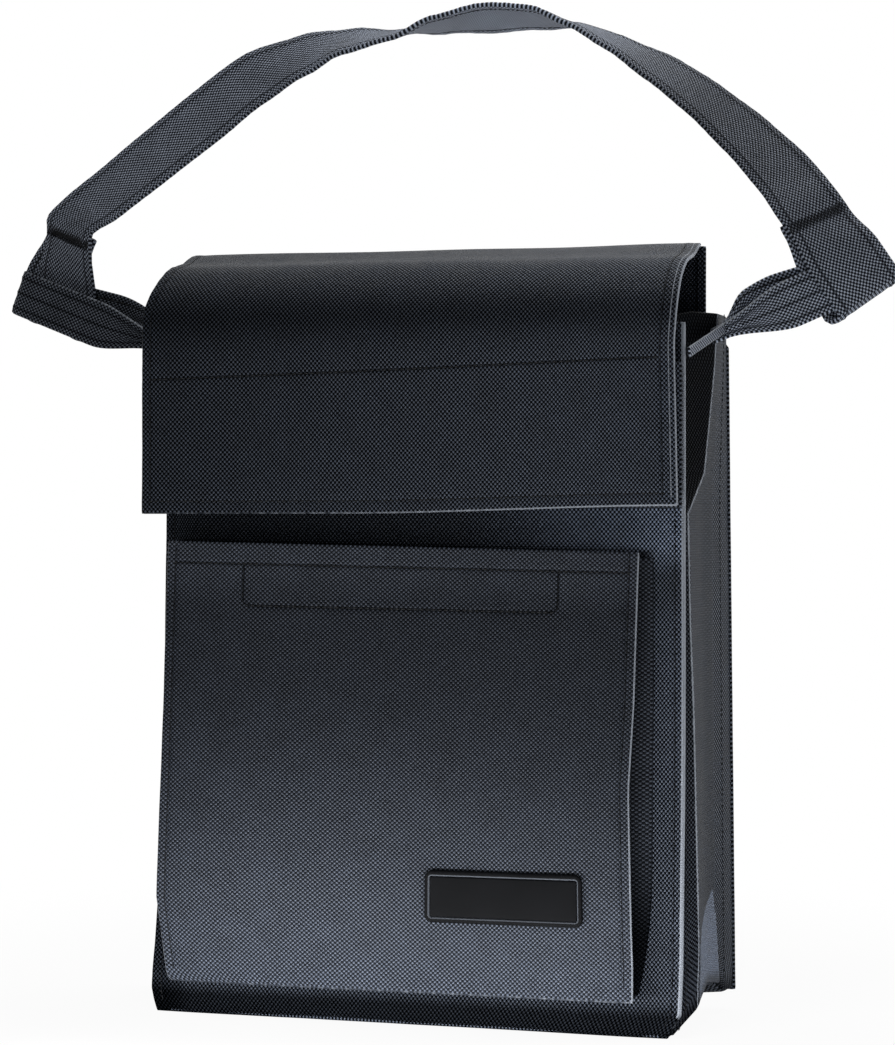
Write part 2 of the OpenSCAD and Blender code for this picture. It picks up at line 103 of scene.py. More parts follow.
# The side walls: seams, folds behind the front, upper fold, mouth, tuck at the foot, and heel
SEAM_IN, SEAM_FRONT = 1.0, 0.3
CREASE_IN, VALLEY_IN = 8.0, 17.0
FOLD_Z, FOLD_RUN = 222.0, 18.0
MOUTH_TUCK, MOUTH_HEM = 8.0, 18.0
TUCK_H = 55.0
HEEL_RUN, BACK_LIFT = 10.0, BACK_LOW[2]
# The pocket's pleats: thickness, depth, and how far they stand out beside the pocket
PLEAT, PLEAT_IN, PLEAT_OUT = 1.0, 6.0, 2.4
# The belt loops: band, thickness, half the opening, where the band turns and has spread, and the neck
LOOP_BAND, LOOP_T, LOOP_R = 20.0, 1.8, 5.4
LOOP_TURN_X, LOOP_SPREAD, NECK_LEN = 75.7, 24.0, 7.0
# Rise and turn of the right and the left loop, in degrees
RISE = {1: 24.0, -1: 21.0}
TURN = {1: 13.0, -1: 169.0}
# The strap: width, thickness, its place on the loops, how far its plies lie apart, and its crown
STRAP_W, STRAP_T = 32.0, 2.2
STRAP_X, STEM_TOP, TACK_Z = 58.8, 38.4, 33.4
PLY_OUT, PLY_SEWN = 2.3, 0.1
STRAP_RISE, STRAP_LEAN = 95.0, 20.0
# The strap's way: share of the span, share of the crown's height, tilt from level in degrees
STRAP_WAY = [
    (0.032, 0.19, 61), (0.098, 0.38, 64), (0.165, 0.57, 66), (0.230, 0.75, 63),
    (0.298, 0.86, 47), (0.359, 0.92, 30), (0.428, 0.94, 17), (0.489, 0.98, -1),
    (0.558, 1.00, -11), (0.619, 0.99, -6), (0.675, 0.94, 10), (0.734, 0.83, 19),
    (0.794, 0.69, 30), (0.850, 0.53, 36), (0.906, 0.34, 44), (0.954, 0.15, 52),
]
# Stitches, the groove that they pull, how much less painted shade a quiet seam gets, and the puckers beside a
# seam
STITCH, STITCH_GAP, THREAD, THREAD_SUNK = 2.1, 0.6, 0.55, 0.35
GROOVE, GROOVE_W, QUIET = 0.45, 0.8, 0.42
PUCKER, PUCKER_REACH, PUCKER_WAVE = 0.14, 5.0, 7.3
# Length of the waves in slack cloth, and roundness of a cut edge
SLACK_WAVE, RIM_ROUND = 70.0, 0.7
# A seam or fold that is nowhere near, the least length, and the share that a curve runs to past its edge
FAR, TINY, PAST = 99.0, 1e-9, 1.1

# Weave of the cloth: spacing of its threads across and along
THREAD_U, THREAD_V = 0.93, 1.05


# Materials

def linear(hex_colour, alpha=1.0):
    """An sRGB hex colour as the linear colour that shaders take."""
    parts = [int(hex_colour[i:i + 2], 16) / 255 for i in (1, 3, 5)]
    return (*[c / 12.92 if c <= 0.04045 else ((c + 0.055) / 1.055) ** 2.4 for c in parts], alpha)


def node(tree, kind, links=None, **settings):
    """Adds a node with its settings, and sets or links its inputs by name or number."""
    made = tree.nodes.new(kind)
    for key, value in settings.items():
        setattr(made, key, value)
    for key, value in (links or {}).items():
        if isinstance(value, bpy.types.NodeSocket):
            tree.links.new(value, made.inputs[key])
        else:
            made.inputs[key].default_value = value
    return made


def new_material(name):
    """An empty node material and its tree."""
    made = bpy.data.materials.new(name)
    made.use_nodes = True
    made.node_tree.nodes.clear()
    return made, made.node_tree


def plain_weave(tree, flat, across, along):
    """Over and under of a plain weave, from -1 to 1, with its threads that many millimetres apart."""
    turns = node(tree, "ShaderNodeMapping", {
        "Vector": flat, "Scale": (math.pi / (across * MM), math.pi / (along * MM), 1)})
    parts = node(tree, "ShaderNodeSeparateXYZ", {0: turns.outputs[0]})
    warp = node(tree, "ShaderNodeMath", {0: parts.outputs[0]}, operation="SINE")
    weft = node(tree, "ShaderNodeMath", {0: parts.outputs[1]}, operation="SINE")
    return node(tree, "ShaderNodeMath", {
        0: warp.outputs[0], 1: weft.outputs[0]}, operation="MULTIPLY").outputs[0]


def coated_cloth(name, over, under, wear_and_glint, across, along, roughness, specular):
    """Ballistic polyester in plain weave, coated on the back: round dark threads, each crossing a small bump
    that catches some light and is also painted lighter, a painted highlight, while the gaps are painted dark
    as shade.
    Folded edges are drawn pale, as wear with a painted glint, the cloth beside a seam gets painted shade, and
    the shade attribute paints light and shade over each piece."""
    made, tree = new_material(name)
    patch, edge_noise_size, bulge = 14 * MM, 3 * MM, 0.28 * MM
    flat = node(tree, "ShaderNodeUVMap", uv_map="flat").outputs[0]
    weave = plain_weave(tree, flat, across, along)
    # Crossings painted lighter and gaps painted darker: a painted highlight and painted shade in the weave
    lit = node(tree, "ShaderNodeMapRange", {
        "Value": weave, "From Min": -0.30, "From Max": 0.80}, interpolation_type="SMOOTHSTEP")
    uneven = node(tree, "ShaderNodeTexNoise", {
        "Vector": flat, "Scale": 1 / patch, "Detail": 4.0, "Roughness": 0.6})
    drift = node(tree, "ShaderNodeMapRange", {
        "Value": uneven.outputs[0], "From Min": 0.25, "From Max": 0.75, "To Min": 0.78, "To Max": 1.2})
    # The shade attribute is painted light and shade: it scales the colour up or down, and below 1 it also
    # dims the gleam
    shade = node(tree, "ShaderNodeAttribute", attribute_name="shade").outputs["Fac"]
    level = node(tree, "ShaderNodeMath", {0: drift.outputs[0], 1: shade}, operation="MULTIPLY")
    base = node(tree, "ShaderNodeMix", {
        "Factor": lit.outputs[0], "A": linear(under), "B": linear(over)}, data_type="RGBA")
    # The Mix node's colour result is its third output
    tone = node(tree, "ShaderNodeVectorMath", {
        0: base.outputs[2], "Scale": level.outputs[0]}, operation="SCALE")
    # Pale lines along folded edges: wear, with a painted glint on the folds
    edge = node(tree, "ShaderNodeAttribute", attribute_name="edge_mm").outputs["Fac"]
    edge_noise = node(tree, "ShaderNodeTexNoise", {"Vector": flat, "Scale": 1 / edge_noise_size, "Detail": 3.0})
    reach = node(tree, "ShaderNodeMapRange", {
        "Value": edge_noise.outputs[0], "From Min": 0.3, "From Max": 0.7, "To Min": 0.14, "To Max": 0.40})
    pale_edge = node(tree, "ShaderNodeMapRange", {
        "Value": edge, "From Min": reach.outputs[0], "From Max": 0.0, "To Min": 0.0, "To Max": 0.9},
        interpolation_type="SMOOTHSTEP")
    with_pale_edges = node(tree, "ShaderNodeMix", {
        "Factor": pale_edge.outputs[0], "A": tone.outputs[0], "B": linear(wear_and_glint)}, data_type="RGBA")
    # Beside a seam the colour and the gleam are darkened: painted shade in the seam's groove
    seam = node(tree, "ShaderNodeAttribute", attribute_name="seam_mm").outputs["Fac"]
    dimmed = node(tree, "ShaderNodeMapRange", {
        "Value": seam, "From Min": 0.25, "From Max": 0.8, "To Min": 0.35, "To Max": 1.0},
        interpolation_type="SMOOTHSTEP")
    colour = node(tree, "ShaderNodeVectorMath", {
        0: with_pale_edges.outputs[2], "Scale": dimmed.outputs[0]}, operation="SCALE")
    height = node(tree, "ShaderNodeMath", {0: weave}, operation="ABSOLUTE")
    bump = node(tree, "ShaderNodeBump", {"Height": height.outputs[0], "Strength": 0.7, "Distance": bulge})
    gloss = node(tree, "ShaderNodeMapRange", {
        "Value": uneven.outputs[0], "From Min": 0.2, "From Max": 0.8,
        "To Min": roughness - 0.06, "To Max": roughness + 0.08})
    raised = node(tree, "ShaderNodeMapRange", {"Value": lit.outputs[0], "To Min": 0.04, "To Max": specular})
    sheltered = node(tree, "ShaderNodeMath", {0: shade, 1: 1.0}, operation="MINIMUM")
    open_gleam = node(tree, "ShaderNodeMath", {
        0: raised.outputs[0], 1: dimmed.outputs[0]}, operation="MULTIPLY")
    gleam = node(tree, "ShaderNodeMath", {
        0: open_gleam.outputs[0], 1: sheltered.outputs[0]}, operation="MULTIPLY")
    skin = node(tree, "ShaderNodeBsdfPrincipled", {
        "Base Color": colour.outputs[0], "Roughness": gloss.outputs[0], "Normal": bump.outputs[0],
        "Specular IOR Level": gleam.outputs[0]})
    node(tree, "ShaderNodeOutputMaterial", {"Surface": skin.outputs[0]})
    return made


def sewing_thread():
    """Twisted black polyester thread: smooth and slightly glossy, with a fine slanted twist."""
    made, tree = new_material("polyester_sewing_thread")
    lay = 0.9 * MM
    place = node(tree, "ShaderNodeTexCoord").outputs["Object"]
    twist = node(tree, "ShaderNodeTexWave", {"Vector": place, "Scale": 1 / lay, "Distortion": 1.0})
    colour = node(tree, "ShaderNodeMix", {
        "Factor": twist.outputs["Fac"], "A": linear("#0a0b0d"), "B": linear("#171a1f")}, data_type="RGBA")
    skin = node(tree, "ShaderNodeBsdfPrincipled", {
        "Base Color": colour.outputs[2], "Roughness": 0.55, "Specular IOR Level": 0.25})
    node(tree, "ShaderNodeOutputMaterial", {"Surface": skin.outputs[0]})
    return made


def glass_lining():
    """Glass-fibre cloth, silver-coated on its face: pale grey, with a satin metal gleam and a fine weave."""
    made, tree = new_material("silver_coated_glass_cloth")
    yarn, crease, bulge = 1.3, 30 * MM, 0.3 * MM
    flat = node(tree, "ShaderNodeUVMap", uv_map="flat").outputs[0]
    weave = plain_weave(tree, flat, yarn, yarn)
    creases = node(tree, "ShaderNodeTexNoise", {
        "Vector": flat, "Scale": 1 / crease, "Detail": 6.0, "Distortion": 0.6})
    # The weave and the creases are painted lighter and darker: painted shade in the lining's colour
    shade = node(tree, "ShaderNodeMapRange", {
        "Value": weave, "From Min": -1.0, "From Max": 1.0, "To Min": 0.35, "To Max": 0.65})
    mixed = node(tree, "ShaderNodeMath", {0: shade.outputs[0], 1: creases.outputs[0]}, operation="MULTIPLY")
    colour = node(tree, "ShaderNodeMix", {
        "Factor": mixed.outputs[0], "A": linear("#7d8085"), "B": linear("#d3d5d8")}, data_type="RGBA")
    raised = node(tree, "ShaderNodeMath", {0: weave}, operation="ABSOLUTE")
    height = node(tree, "ShaderNodeMath", {0: raised.outputs[0], 1: creases.outputs[0]}, operation="ADD")
    bump = node(tree, "ShaderNodeBump", {"Height": height.outputs[0], "Strength": 0.5, "Distance": bulge})
    skin = node(tree, "ShaderNodeBsdfPrincipled", {
        "Base Color": colour.outputs[2], "Roughness": 0.42, "Metallic": 0.55, "Normal": bump.outputs[0]})
    node(tree, "ShaderNodeOutputMaterial", {"Surface": skin.outputs[0]})
    return made


def nylon_pile(name, tip, root, grain, roughness):
    """Hook or loop tape in black nylon: a dense field of tiny hooks or loops that scatters light softly."""
    made, tree = new_material(name)
    pile = 0.5 * MM
    flat = node(tree, "ShaderNodeUVMap", uv_map="flat").outputs[0]
    dots = node(tree, "ShaderNodeTexVoronoi", {"Vector": flat, "Scale": 1 / (grain * MM), "Randomness": 0.6})
    tuft = node(tree, "ShaderNodeMapRange", {
        "Value": dots.outputs["Distance"], "From Min": 0.0, "From Max": 0.6, "To Min": 1.0, "To Max": 0.0})
    # Tufts are painted lighter at their tips and darker at their roots: painted shade between the tufts
    colour = node(tree, "ShaderNodeMix", {
        "Factor": tuft.outputs[0], "A": linear(root), "B": linear(tip)}, data_type="RGBA")
    bump = node(tree, "ShaderNodeBump", {"Height": tuft.outputs[0], "Strength": 0.9, "Distance": pile})
    skin = node(tree, "ShaderNodeBsdfPrincipled", {
        "Base Color": colour.outputs[2], "Roughness": roughness, "Normal": bump.outputs[0],
        "Sheen Weight": 0.25})
    node(tree, "ShaderNodeOutputMaterial", {"Surface": skin.outputs[0]})
    return made


def moulded_rubber():
    """Soft PVC rubber, moulded: near black, fine matt grain, with a paler grey line along its inner rim."""
    made, tree = new_material("moulded_soft_rubber")
    pore, patch, pit = 0.7 * MM, 18 * MM, 0.15 * MM
    place = node(tree, "ShaderNodeTexCoord").outputs["Object"]
    grain = node(tree, "ShaderNodeTexNoise", {"Vector": place, "Scale": 1 / pore, "Detail": 2.0})
    cloud = node(tree, "ShaderNodeTexNoise", {"Vector": place, "Scale": 1 / patch, "Detail": 3.0})
    colour = node(tree, "ShaderNodeMix", {
        "Factor": cloud.outputs[0], "A": linear("#07080a"), "B": linear("#0f1013")}, data_type="RGBA")
    edge = node(tree, "ShaderNodeAttribute", attribute_name="edge_mm")
    pale_edge = node(tree, "ShaderNodeMapRange", {
        "Value": edge.outputs["Fac"], "From Min": 0.45, "From Max": 0.0, "To Min": 0.0, "To Max": 0.8})
    tone = node(tree, "ShaderNodeMix", {
        "Factor": pale_edge.outputs[0], "A": colour.outputs[2], "B": linear("#6d727b")}, data_type="RGBA")
    bump = node(tree, "ShaderNodeBump", {"Height": grain.outputs[0], "Strength": 0.25, "Distance": pit})
    skin = node(tree, "ShaderNodeBsdfPrincipled", {
        "Base Color": tone.outputs[2], "Roughness": 0.6, "Normal": bump.outputs[0],
        "Specular IOR Level": 0.08})
    node(tree, "ShaderNodeOutputMaterial", {"Surface": skin.outputs[0]})
    return made


# Colours of each cloth: the crossings' colour is painted lighter as a highlight, the gaps' colour painted
# dark as shade, and the pale edges' colour is wear with a painted glint. The turned cloth has its gaps
# painted less dark
BODY_CLOTH = coated_cloth(
    "coated_ballistic_cloth", "#5b6474", "#030406", "#a9b0bb", THREAD_U, THREAD_V, 0.5, 0.55)
TURNED_CLOTH = coated_cloth(
    "coated_ballistic_cloth_turned", "#555d6c", "#1b1d21", "#a9b0bb", THREAD_V, THREAD_U, 0.5, 0.55)
STRAP_CLOTH = coated_cloth(
    "ballistic_strap_cloth", "#949cab", "#13151a", "#a4aab3", THREAD_U, THREAD_V, 0.55, 0.3)
SEWING_THREAD = sewing_thread()
FIRE_LINING = glass_lining()
HOOK_TAPE = nylon_pile("nylon_hook_tape", "#2a2c31", "#08090b", 1.1, 0.5)
LOOP_TAPE = nylon_pile("nylon_loop_tape", "#1d1f23", "#0a0b0d", 0.7, 0.9)
RUBBER = moulded_rubber()


# Cloth sheets

def unit(vectors):
    """Vectors of length one."""
    return vectors / np.maximum(np.linalg.norm(vectors, axis=-1, keepdims=True), TINY)


def ease(share):
    """A smooth step from 0 to 1."""
    share = np.clip(share, 0, 1)
    return share * share * (3 - 2 * share)


def ramp(place, start, stop):
    """A smooth step from 0 at start to 1 at stop, whichever of them is the higher."""
    return ease((place - start) / (stop - start))


def low_share(height, top, most=1.0):
    """1 at the foot of a piece and 0 from a height on, with some more below the foot where most allows it."""
    return np.clip(1 - height / top, 0, most)


def waves(u, v, length, seed):
    """Smooth unevenness of sewn cloth, about -1 to 1, in waves of about that length."""
    draw = np.random.default_rng(seed)
    total = 0.0
    for turn, phase, stretch in draw.uniform((0, 0, 0.7), (math.pi, 2 * math.pi, 1.5), (5, 3)):
        way = u * math.cos(turn) + v * math.sin(turn)
        total = total + np.sin(way * 2 * math.pi / (length * stretch) + phase)
    return total / 3


# How the filled bag stands: its left edge is drawn in, its heel spreads, its lower right side comes
# forward, and its side seams are lifted off the floor. A pair says from where to where one of these grows
FRONT_SIDE, REAR_SIDE = (14, -30), (-5, 25)
DRAWN_Z, DRAWN, DRAWN_SIDE = (0, 20, 56, 139, 211), (0.3, 0.3, 2.8, 5.3, 6.4), (-96, -120)
RIGHT_DRAWN, RIGHT_SIDE = 1.2, (96, 120)
HEEL_TOP, HEEL_FOOT, HEEL_SIDE = 1.2, 3.1, (90, 130)
STEP_OUT, STEP_H, STEP_SIDE = 8.0, 140.0, (-20, 120)
TOE_X, TOE, TOE_H = (-118, -60, 0, 110), (3.0, 6.5, 8.5, 7.5), 34.0
LIFT_Y, LIFT, LIFT_H, LIFT_SIDE = (-26.5, -21.5, -5, 15, 28.4), (0.3, 13, 18, 13, 2.3), 60.0, (98, 120)


def settle(points, drawn=True):
    """Moves places of the sewn shape to where they lie in the standing bag."""
    x, y, z = np.moveaxis(points, -1, 0)
    front, back = ramp(y, *FRONT_SIDE), ramp(y, *REAR_SIDE)
    inward = np.interp(z, DRAWN_Z, DRAWN) * ramp(x, *DRAWN_SIDE) - RIGHT_DRAWN * ramp(x, *RIGHT_SIDE)
    heel = HEEL_TOP + HEEL_FOOT * low_share(z, FRONT_H)
    outward = np.sign(x) * heel * ramp(np.abs(x), *HEEL_SIDE) * back
    step = STEP_OUT * ramp(x, *STEP_SIDE) * ease(1 - z / STEP_H)
    toe = np.interp(x, TOE_X, TOE) * ease(1 - z / TOE_H)
    lift = ramp(np.abs(x), *LIFT_SIDE) * low_share(z, LIFT_H) * np.interp(y, LIFT_Y, LIFT)
    return np.stack([x + inward * front * drawn + outward, y - (step + toe) * front, z + lift], -1)


# Closer lines of a sheet's grid beside a mark, and the least gap between two lines
CLOSE_LINES, LEAST_GAP = (-1.7, -0.8, 0.8, 1.7), 0.45


def grid_lines(start, stop, step, marks=()):
    """Even lines from start to stop, with closer ones beside the marks and at both ends."""
    fixed = sorted({start, stop, *[m for m in marks if start < m < stop]})
    close = [m + d for m in fixed for d in CLOSE_LINES if start < m + d < stop]
    even = np.linspace(start, stop, max(2, round((stop - start) / step) + 1))
    kept = list(fixed)
    for line in [*close, *even]:
        if min(abs(line - k) for k in kept) > LEAST_GAP:
            kept.append(line)
    return np.array(sorted(kept))


def from_line(a, b, u, v):
    """Distance of flat points from the line between a and b, and the share of the way at which they lie."""
    du, dv = b[0] - a[0], b[1] - a[1]
    share = np.clip(((u - a[0]) * du + (v - a[1]) * dv) / max(du * du + dv * dv, TINY), 0, 1)
    return np.hypot(u - a[0] - share * du, v - a[1] - share * dv), share


def distance_to(polylines, u, v):
    """Distance from flat points to the nearest of some polylines."""
    nearest = np.full(np.shape(u), FAR)
    for line in polylines:
        for a, b in zip(line, line[1:]):
            nearest = np.minimum(nearest, from_line(a, b, u, v)[0])
    return nearest


def wear_and_glint_of(folds, u, v):
    """Distance to the folds drawn pale, as wear with a painted glint, each a line from a to b with how much
    is added to the distance at its two ends.
    """
    nearest = np.full(np.shape(u), FAR)
    for a, b, unworn_a, unworn_b in folds:
        away, share = from_line(a, b, u, v)
        nearest = np.minimum(nearest, away + unworn_a + (unworn_b - unworn_a) * share)
    return nearest


def box_line(u0, u1, v0, v1):
    """A closed box as a flat polyline."""
    return [(u0, v0), (u1, v0), (u1, v1), (u0, v1), (u0, v0)]


def level_line(half, v):
    """A sewn line straight across a piece."""
    return [(-half, v), (half, v)]


def upright_lines(half, low, high):
    """Two sewn lines up a piece, on the left and on the right."""
    return [[(s * half, low), (s * half, high)] for s in (-1, 1)]


def finish_piece(name, mesh, material, body, *nodes):
    """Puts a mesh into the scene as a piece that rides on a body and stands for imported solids."""
    mesh.materials.append(material)
    piece = bpy.data.objects.new(name, mesh)
    bpy.context.scene.collection.objects.link(piece)
    if body:
        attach(piece, body)
    if nodes:
        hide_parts(*nodes)
    return piece


def plain_mesh(name, vertices, faces, flat=None, **marks):
    """A smooth mesh from millimetres, with a flat map and point attributes where they are given."""
    mesh = bpy.data.meshes.new(name)
    mesh.from_pydata((np.asarray(vertices) * MM).tolist(), [], [list(map(int, f)) for f in faces])
    mesh.polygons.foreach_set("use_smooth", [True] * len(mesh.polygons))
    if flat is not None:
        corner = np.zeros(len(mesh.loops), int)
        mesh.loops.foreach_get("vertex_index", corner)
        mesh.uv_layers.new(name="flat").data.foreach_set("uv", (np.asarray(flat)[corner] * MM).ravel())
    for key, values in marks.items():
        attribute = mesh.attributes.new(key, "FLOAT", "POINT")
        attribute.data.foreach_set("value", np.asarray(values, np.float32).ravel())
    mesh.update()
    return mesh


def sheet_mesh(name, points, normals, flat, thick, edge, seam, shade):
    """A closed sheet of cloth round a grid of middle points, with a rounded rim."""
    rows, cols = points.shape[:2]
    half = np.broadcast_to(np.asarray(thick, float), (rows, cols))[..., None] / 2
    index = np.arange(rows * cols).reshape(rows, cols)
    loop = np.concatenate([index[0, :], index[1:, -1], index[-1, -2::-1], index[-2:0:-1, 0]])
    near = points.reshape(-1, 3)[loop]
    out = normals.reshape(-1, 3)[loop]
    aside = unit(np.cross(np.roll(near, -1, 0) - np.roll(near, 1, 0), out))
    rim = near + aside * half.reshape(-1, 1)[loop] * RIM_ROUND
    vertices = np.concatenate([
        (points + normals * half).reshape(-1, 3), (points - normals * half).reshape(-1, 3), rim])
    a, b, c, d = (m.ravel() for m in (index[:-1, :-1], index[:-1, 1:], index[1:, 1:], index[1:, :-1]))
    deep = rows * cols
    ring = 2 * deep + np.arange(len(loop))
    after, ring_after = np.roll(loop, -1), np.roll(ring, -1)
    faces = np.concatenate([
        np.stack([a, b, c, d], 1), np.stack([d, c, b, a], 1) + deep,
        np.stack([after, loop, ring, ring_after], 1),
        np.stack([ring_after, ring, loop + deep, after + deep], 1)])
    layers = [np.concatenate([m, m, m[loop]]) for m in (edge.ravel(), seam.ravel(), shade.ravel())]
    flats = flat.reshape(-1, 2)
    return plain_mesh(name, vertices, faces, np.concatenate([flats, flats, flats[loop]]),
                      edge_mm=layers[0], seam_mm=layers[1], shade=layers[2])


stitch_lines = {}


def add_stitches(group, points, normals):
    """Keeps a line of stitches for the group of threads that it is sewn with."""
    stitch_lines.setdefault(group, []).append((points, normals))


def normals_of(place, u, v, reach=0.4):
    """Outward directions of a placed sheet."""
    across = place(u + reach, v) - place(u - reach, v)
    along = place(u, v + reach) - place(u, v - reach)
    return unit(np.cross(across, along))


def spread_line(line, step=1.5):
    """Flat points along a polyline, close enough to follow a curved sheet."""
    points = [np.array(line[0], float)]
    for a, b in zip(np.array(line[:-1], float), np.array(line[1:], float)):
        parts = max(1, math.ceil(np.linalg.norm(b - a) / step))
        points += [a + (b - a) * (k + 1) / parts for k in range(parts)]
    return np.array(points)


def evenly(u, v):
    """Flat positions as arrays of one shape."""
    return np.broadcast_arrays(np.asarray(u, float), np.asarray(v, float))


def cloth_piece(name, place, u_span, v_span, material, body, nodes, thick=CLOTH, seams=(), quiet=(), folds=(),
                step=6.0, faces=(1,), uneven=0.3, seed=1, flat=None, marks_u=(), marks_v=(), groove=GROOVE,
                shade=None):
    """One cut piece of cloth. place turns flat millimetres into a place on the bag, seams are sewn lines with
    painted shade beside them, quiet are sewn lines that hardly show, folds are lines drawn pale as wear with
    a painted glint, faces are the sides on which the threads show, and shade gives painted light and shade."""
    sewn = [*seams, *quiet]
    upright = [p[0] for line in sewn for p, q in zip(line, line[1:]) if abs(p[0] - q[0]) < TINY]
    level = [p[1] for line in sewn for p, q in zip(line, line[1:]) if abs(p[1] - q[1]) < TINY]
    us = grid_lines(*u_span, step, [*upright, *marks_u])
    vs = grid_lines(*v_span, step, [*level, *marks_v])
    u, v = np.meshgrid(us, vs)
    seam, quiet_seam = distance_to(seams, u, v), distance_to(quiet, u, v)
    normals = normals_of(place, u, v)
    any_seam = np.minimum(seam, quiet_seam)
    seam = np.minimum(seam, quiet_seam + QUIET)
    ripple = np.sin((u + v) * 2 * math.pi / PUCKER_WAVE) * (any_seam > GROOVE_W)
    puckers = PUCKER * np.exp(-(any_seam / PUCKER_REACH) ** 2) * ripple
    slack = uneven * waves(u, v, SLACK_WAVE, seed)
    relief = slack + puckers - groove * np.exp(-(any_seam / GROOVE_W) ** 2)
    points = place(u, v) + normals * relief[..., None]
    flats = np.stack(flat(u, v) if flat else (u, v), -1)
    shades = shade(u, v) if shade else np.ones_like(u)
    mesh = sheet_mesh(name, points, normals, flats, thick, wear_and_glint_of(folds, u, v), seam, shades)
    piece = finish_piece(name, mesh, material, body, *nodes)
    for line in sewn:
        su, sv = spread_line(line).T
        out = normals_of(place, su, sv)
        lift = uneven * waves(su, sv, SLACK_WAVE, seed)[:, None]
        depth = thick / 2 - groove + THREAD * THREAD_SUNK
        for face in faces:
            add_stitches(body, place(su, sv) + out * (lift + face * depth), out * face)
    return piece


def one_shade(level):
    """The same shade all over a piece."""
    return lambda u, v: level + 0 * u


# Front panel with its pocket

POCKET_X = (POCKET_LOW[0] + POCKET_HIGH[0]) / 2
POCKET_HALF = (POCKET_HIGH[0] - POCKET_LOW[0]) / 2
POCKET_H = POCKET_HIGH[2] - POCKET_LOW[2]
POCKET_MID = (POCKET_LOW[1] + POCKET_HIGH[1]) / 2
MOUTH_LEFT, MOUTH_RIGHT = 0.9, -3.6
# Painted shade on the front's turned foot and in the pocket's mouth, and on the strip under the flap painted
# light to the right and painted shade to the left. Here and below, a pair says from where to where a shade
# comes in
FOOT_BAND, FOOT_FADE, FOOT_SHADE = 8.0, 16.0, 0.17
UNDER_LOW, UNDER_HIGH = (195, 210), (260, 245)
UNDER_LIGHT, UNDER_RIGHT, UNDER_DIM, UNDER_LEFT = 3.0, (10, 100), 0.5, (60, -100)
MOUTH_DARK, MOUTH_SHADE, MOUTH_ASIDE, MOUTH_TOP, MOUTH_DEEP = 2.4, 0.85, 4.0, (0, 2), (30, 20)
# Painted light on the front's right margin and painted shade on its left margin
MARGIN_LIGHT, MARGIN_LIGHT_SIDE, MARGIN_LIGHT_TOP, MARGIN_LIGHT_FOOT = 0.5, (95, 110), (195, 165), (50, 170)
DIM, DIM_SIDE, DIM_TOP = 0.7, (-100, -112), (205, 195)


def mouth_tilt(u):
    """How much higher or lower the pocket's slack mouth lies across its width."""
    return MOUTH_LEFT + (MOUTH_RIGHT - MOUTH_LEFT) * np.clip((u / POCKET_HALF + 1) / 2, 0, 1)


def foot_curl(v):
    """How far back a sheet at the front curls at its foot."""
    return FOOT_CURL * low_share(v, FOOT_CURL_H, CURL_PAST) ** 2


def front_place(u, v):
    """The front, drawn in at its lower corners and curled under at its foot."""
    share = 1 - np.where(u > 0, CORNER_CUT, LEFT_CUT) / HALF_W * low_share(v, CORNER_CUT_H)
    return settle(np.stack([u * share, FRONT_MID + foot_curl(v), v + 0 * u], -1))


def front_shade(u, v):
    """Painted shade darkens the cloth where it turns under the bag, in the pocket's mouth, and on the left
    under the flap and beside the pocket. Painted light makes its right margin, and the strip under the flap
    to the right, the lightest."""
    foot = FOOT_SHADE + (1 - FOOT_SHADE) * ramp(v, FOOT_BAND, FOOT_FADE)
    under_flap = ramp(v, *UNDER_LOW) * ramp(v, *UNDER_HIGH)
    strip = 1 + under_flap * (UNDER_LIGHT * ramp(u, *UNDER_RIGHT) - UNDER_DIM * ramp(u, *UNDER_LEFT))
    mouth = POCKET_HIGH[2] + mouth_tilt(u - POCKET_X) + MOUTH_DARK - v
    across = ramp(np.abs(u - POCKET_X), POCKET_HALF + MOUTH_ASIDE, POCKET_HALF)
    in_mouth = 1 - MOUTH_SHADE * ramp(mouth, *MOUTH_TOP) * ramp(mouth, *MOUTH_DEEP) * across
    margin_light = MARGIN_LIGHT * ramp(u, *MARGIN_LIGHT_SIDE) * ramp(v, *MARGIN_LIGHT_TOP) * ramp(v, *MARGIN_LIGHT_FOOT)
    dim = DIM * ramp(u, *DIM_SIDE) * ramp(v, *DIM_TOP)
    return foot * strip * in_mouth * (1 + margin_light - dim)


# Seams of the front and the pocket: their distance from the edges, and where they start and end
FRONT_SEAM_IN, FRONT_HEM, SEAM_FOOT, FRONT_SEAM_END = 4.0, 4.0, 6.0, 3.0
FRONT_WEAR_GLINT_IN = 1.0
front_seam, front_wear_glint = HALF_W - FRONT_SEAM_IN, HALF_W - FRONT_WEAR_GLINT_IN
mouth_rows = [POCKET_HIGH[2] + k for k in range(-4, 6, 2)]
cloth_piece(
    "front_cloth", front_place, (-HALF_W, HALF_W), (0, FRONT_H), BODY_CLOTH, "front", ["front_panel"],
    seams=[level_line(front_seam, FRONT_H - FRONT_HEM)],
    quiet=upright_lines(front_seam, SEAM_FOOT, FRONT_H - FRONT_SEAM_END),
    folds=[((HALF_W, 3), (HALF_W, 14), 0.3, 0), ((HALF_W, 14), (HALF_W, FRONT_H), 0, 0),
           ((front_wear_glint, 9), (front_wear_glint, FRONT_H), -0.05, -0.05), ((-HALF_W, 0), (HALF_W, 0), 0.1, 0)],
    seed=11, marks_u=(front_wear_glint,),
    marks_v=(CORNER_CUT_H, FOOT_CURL_H / 2, FOOT_BAND, FOOT_FADE, *mouth_rows),
    shade=front_shade)


# How far the pocket's right edge is drawn in, and its left edge stands out, at heights above its foot
RIGHT_IN_V, RIGHT_IN = (0, 30, 88, 126, 192), (3.3, 4.6, 6.5, 4.5, 2.8)
LEFT_OUT_V, LEFT_OUT = (0, 1.2, 3.5, 14, 36, 122, 192), (-3.0, -1.5, -0.5, 1.4, 4.3, 1.6, 0.3)
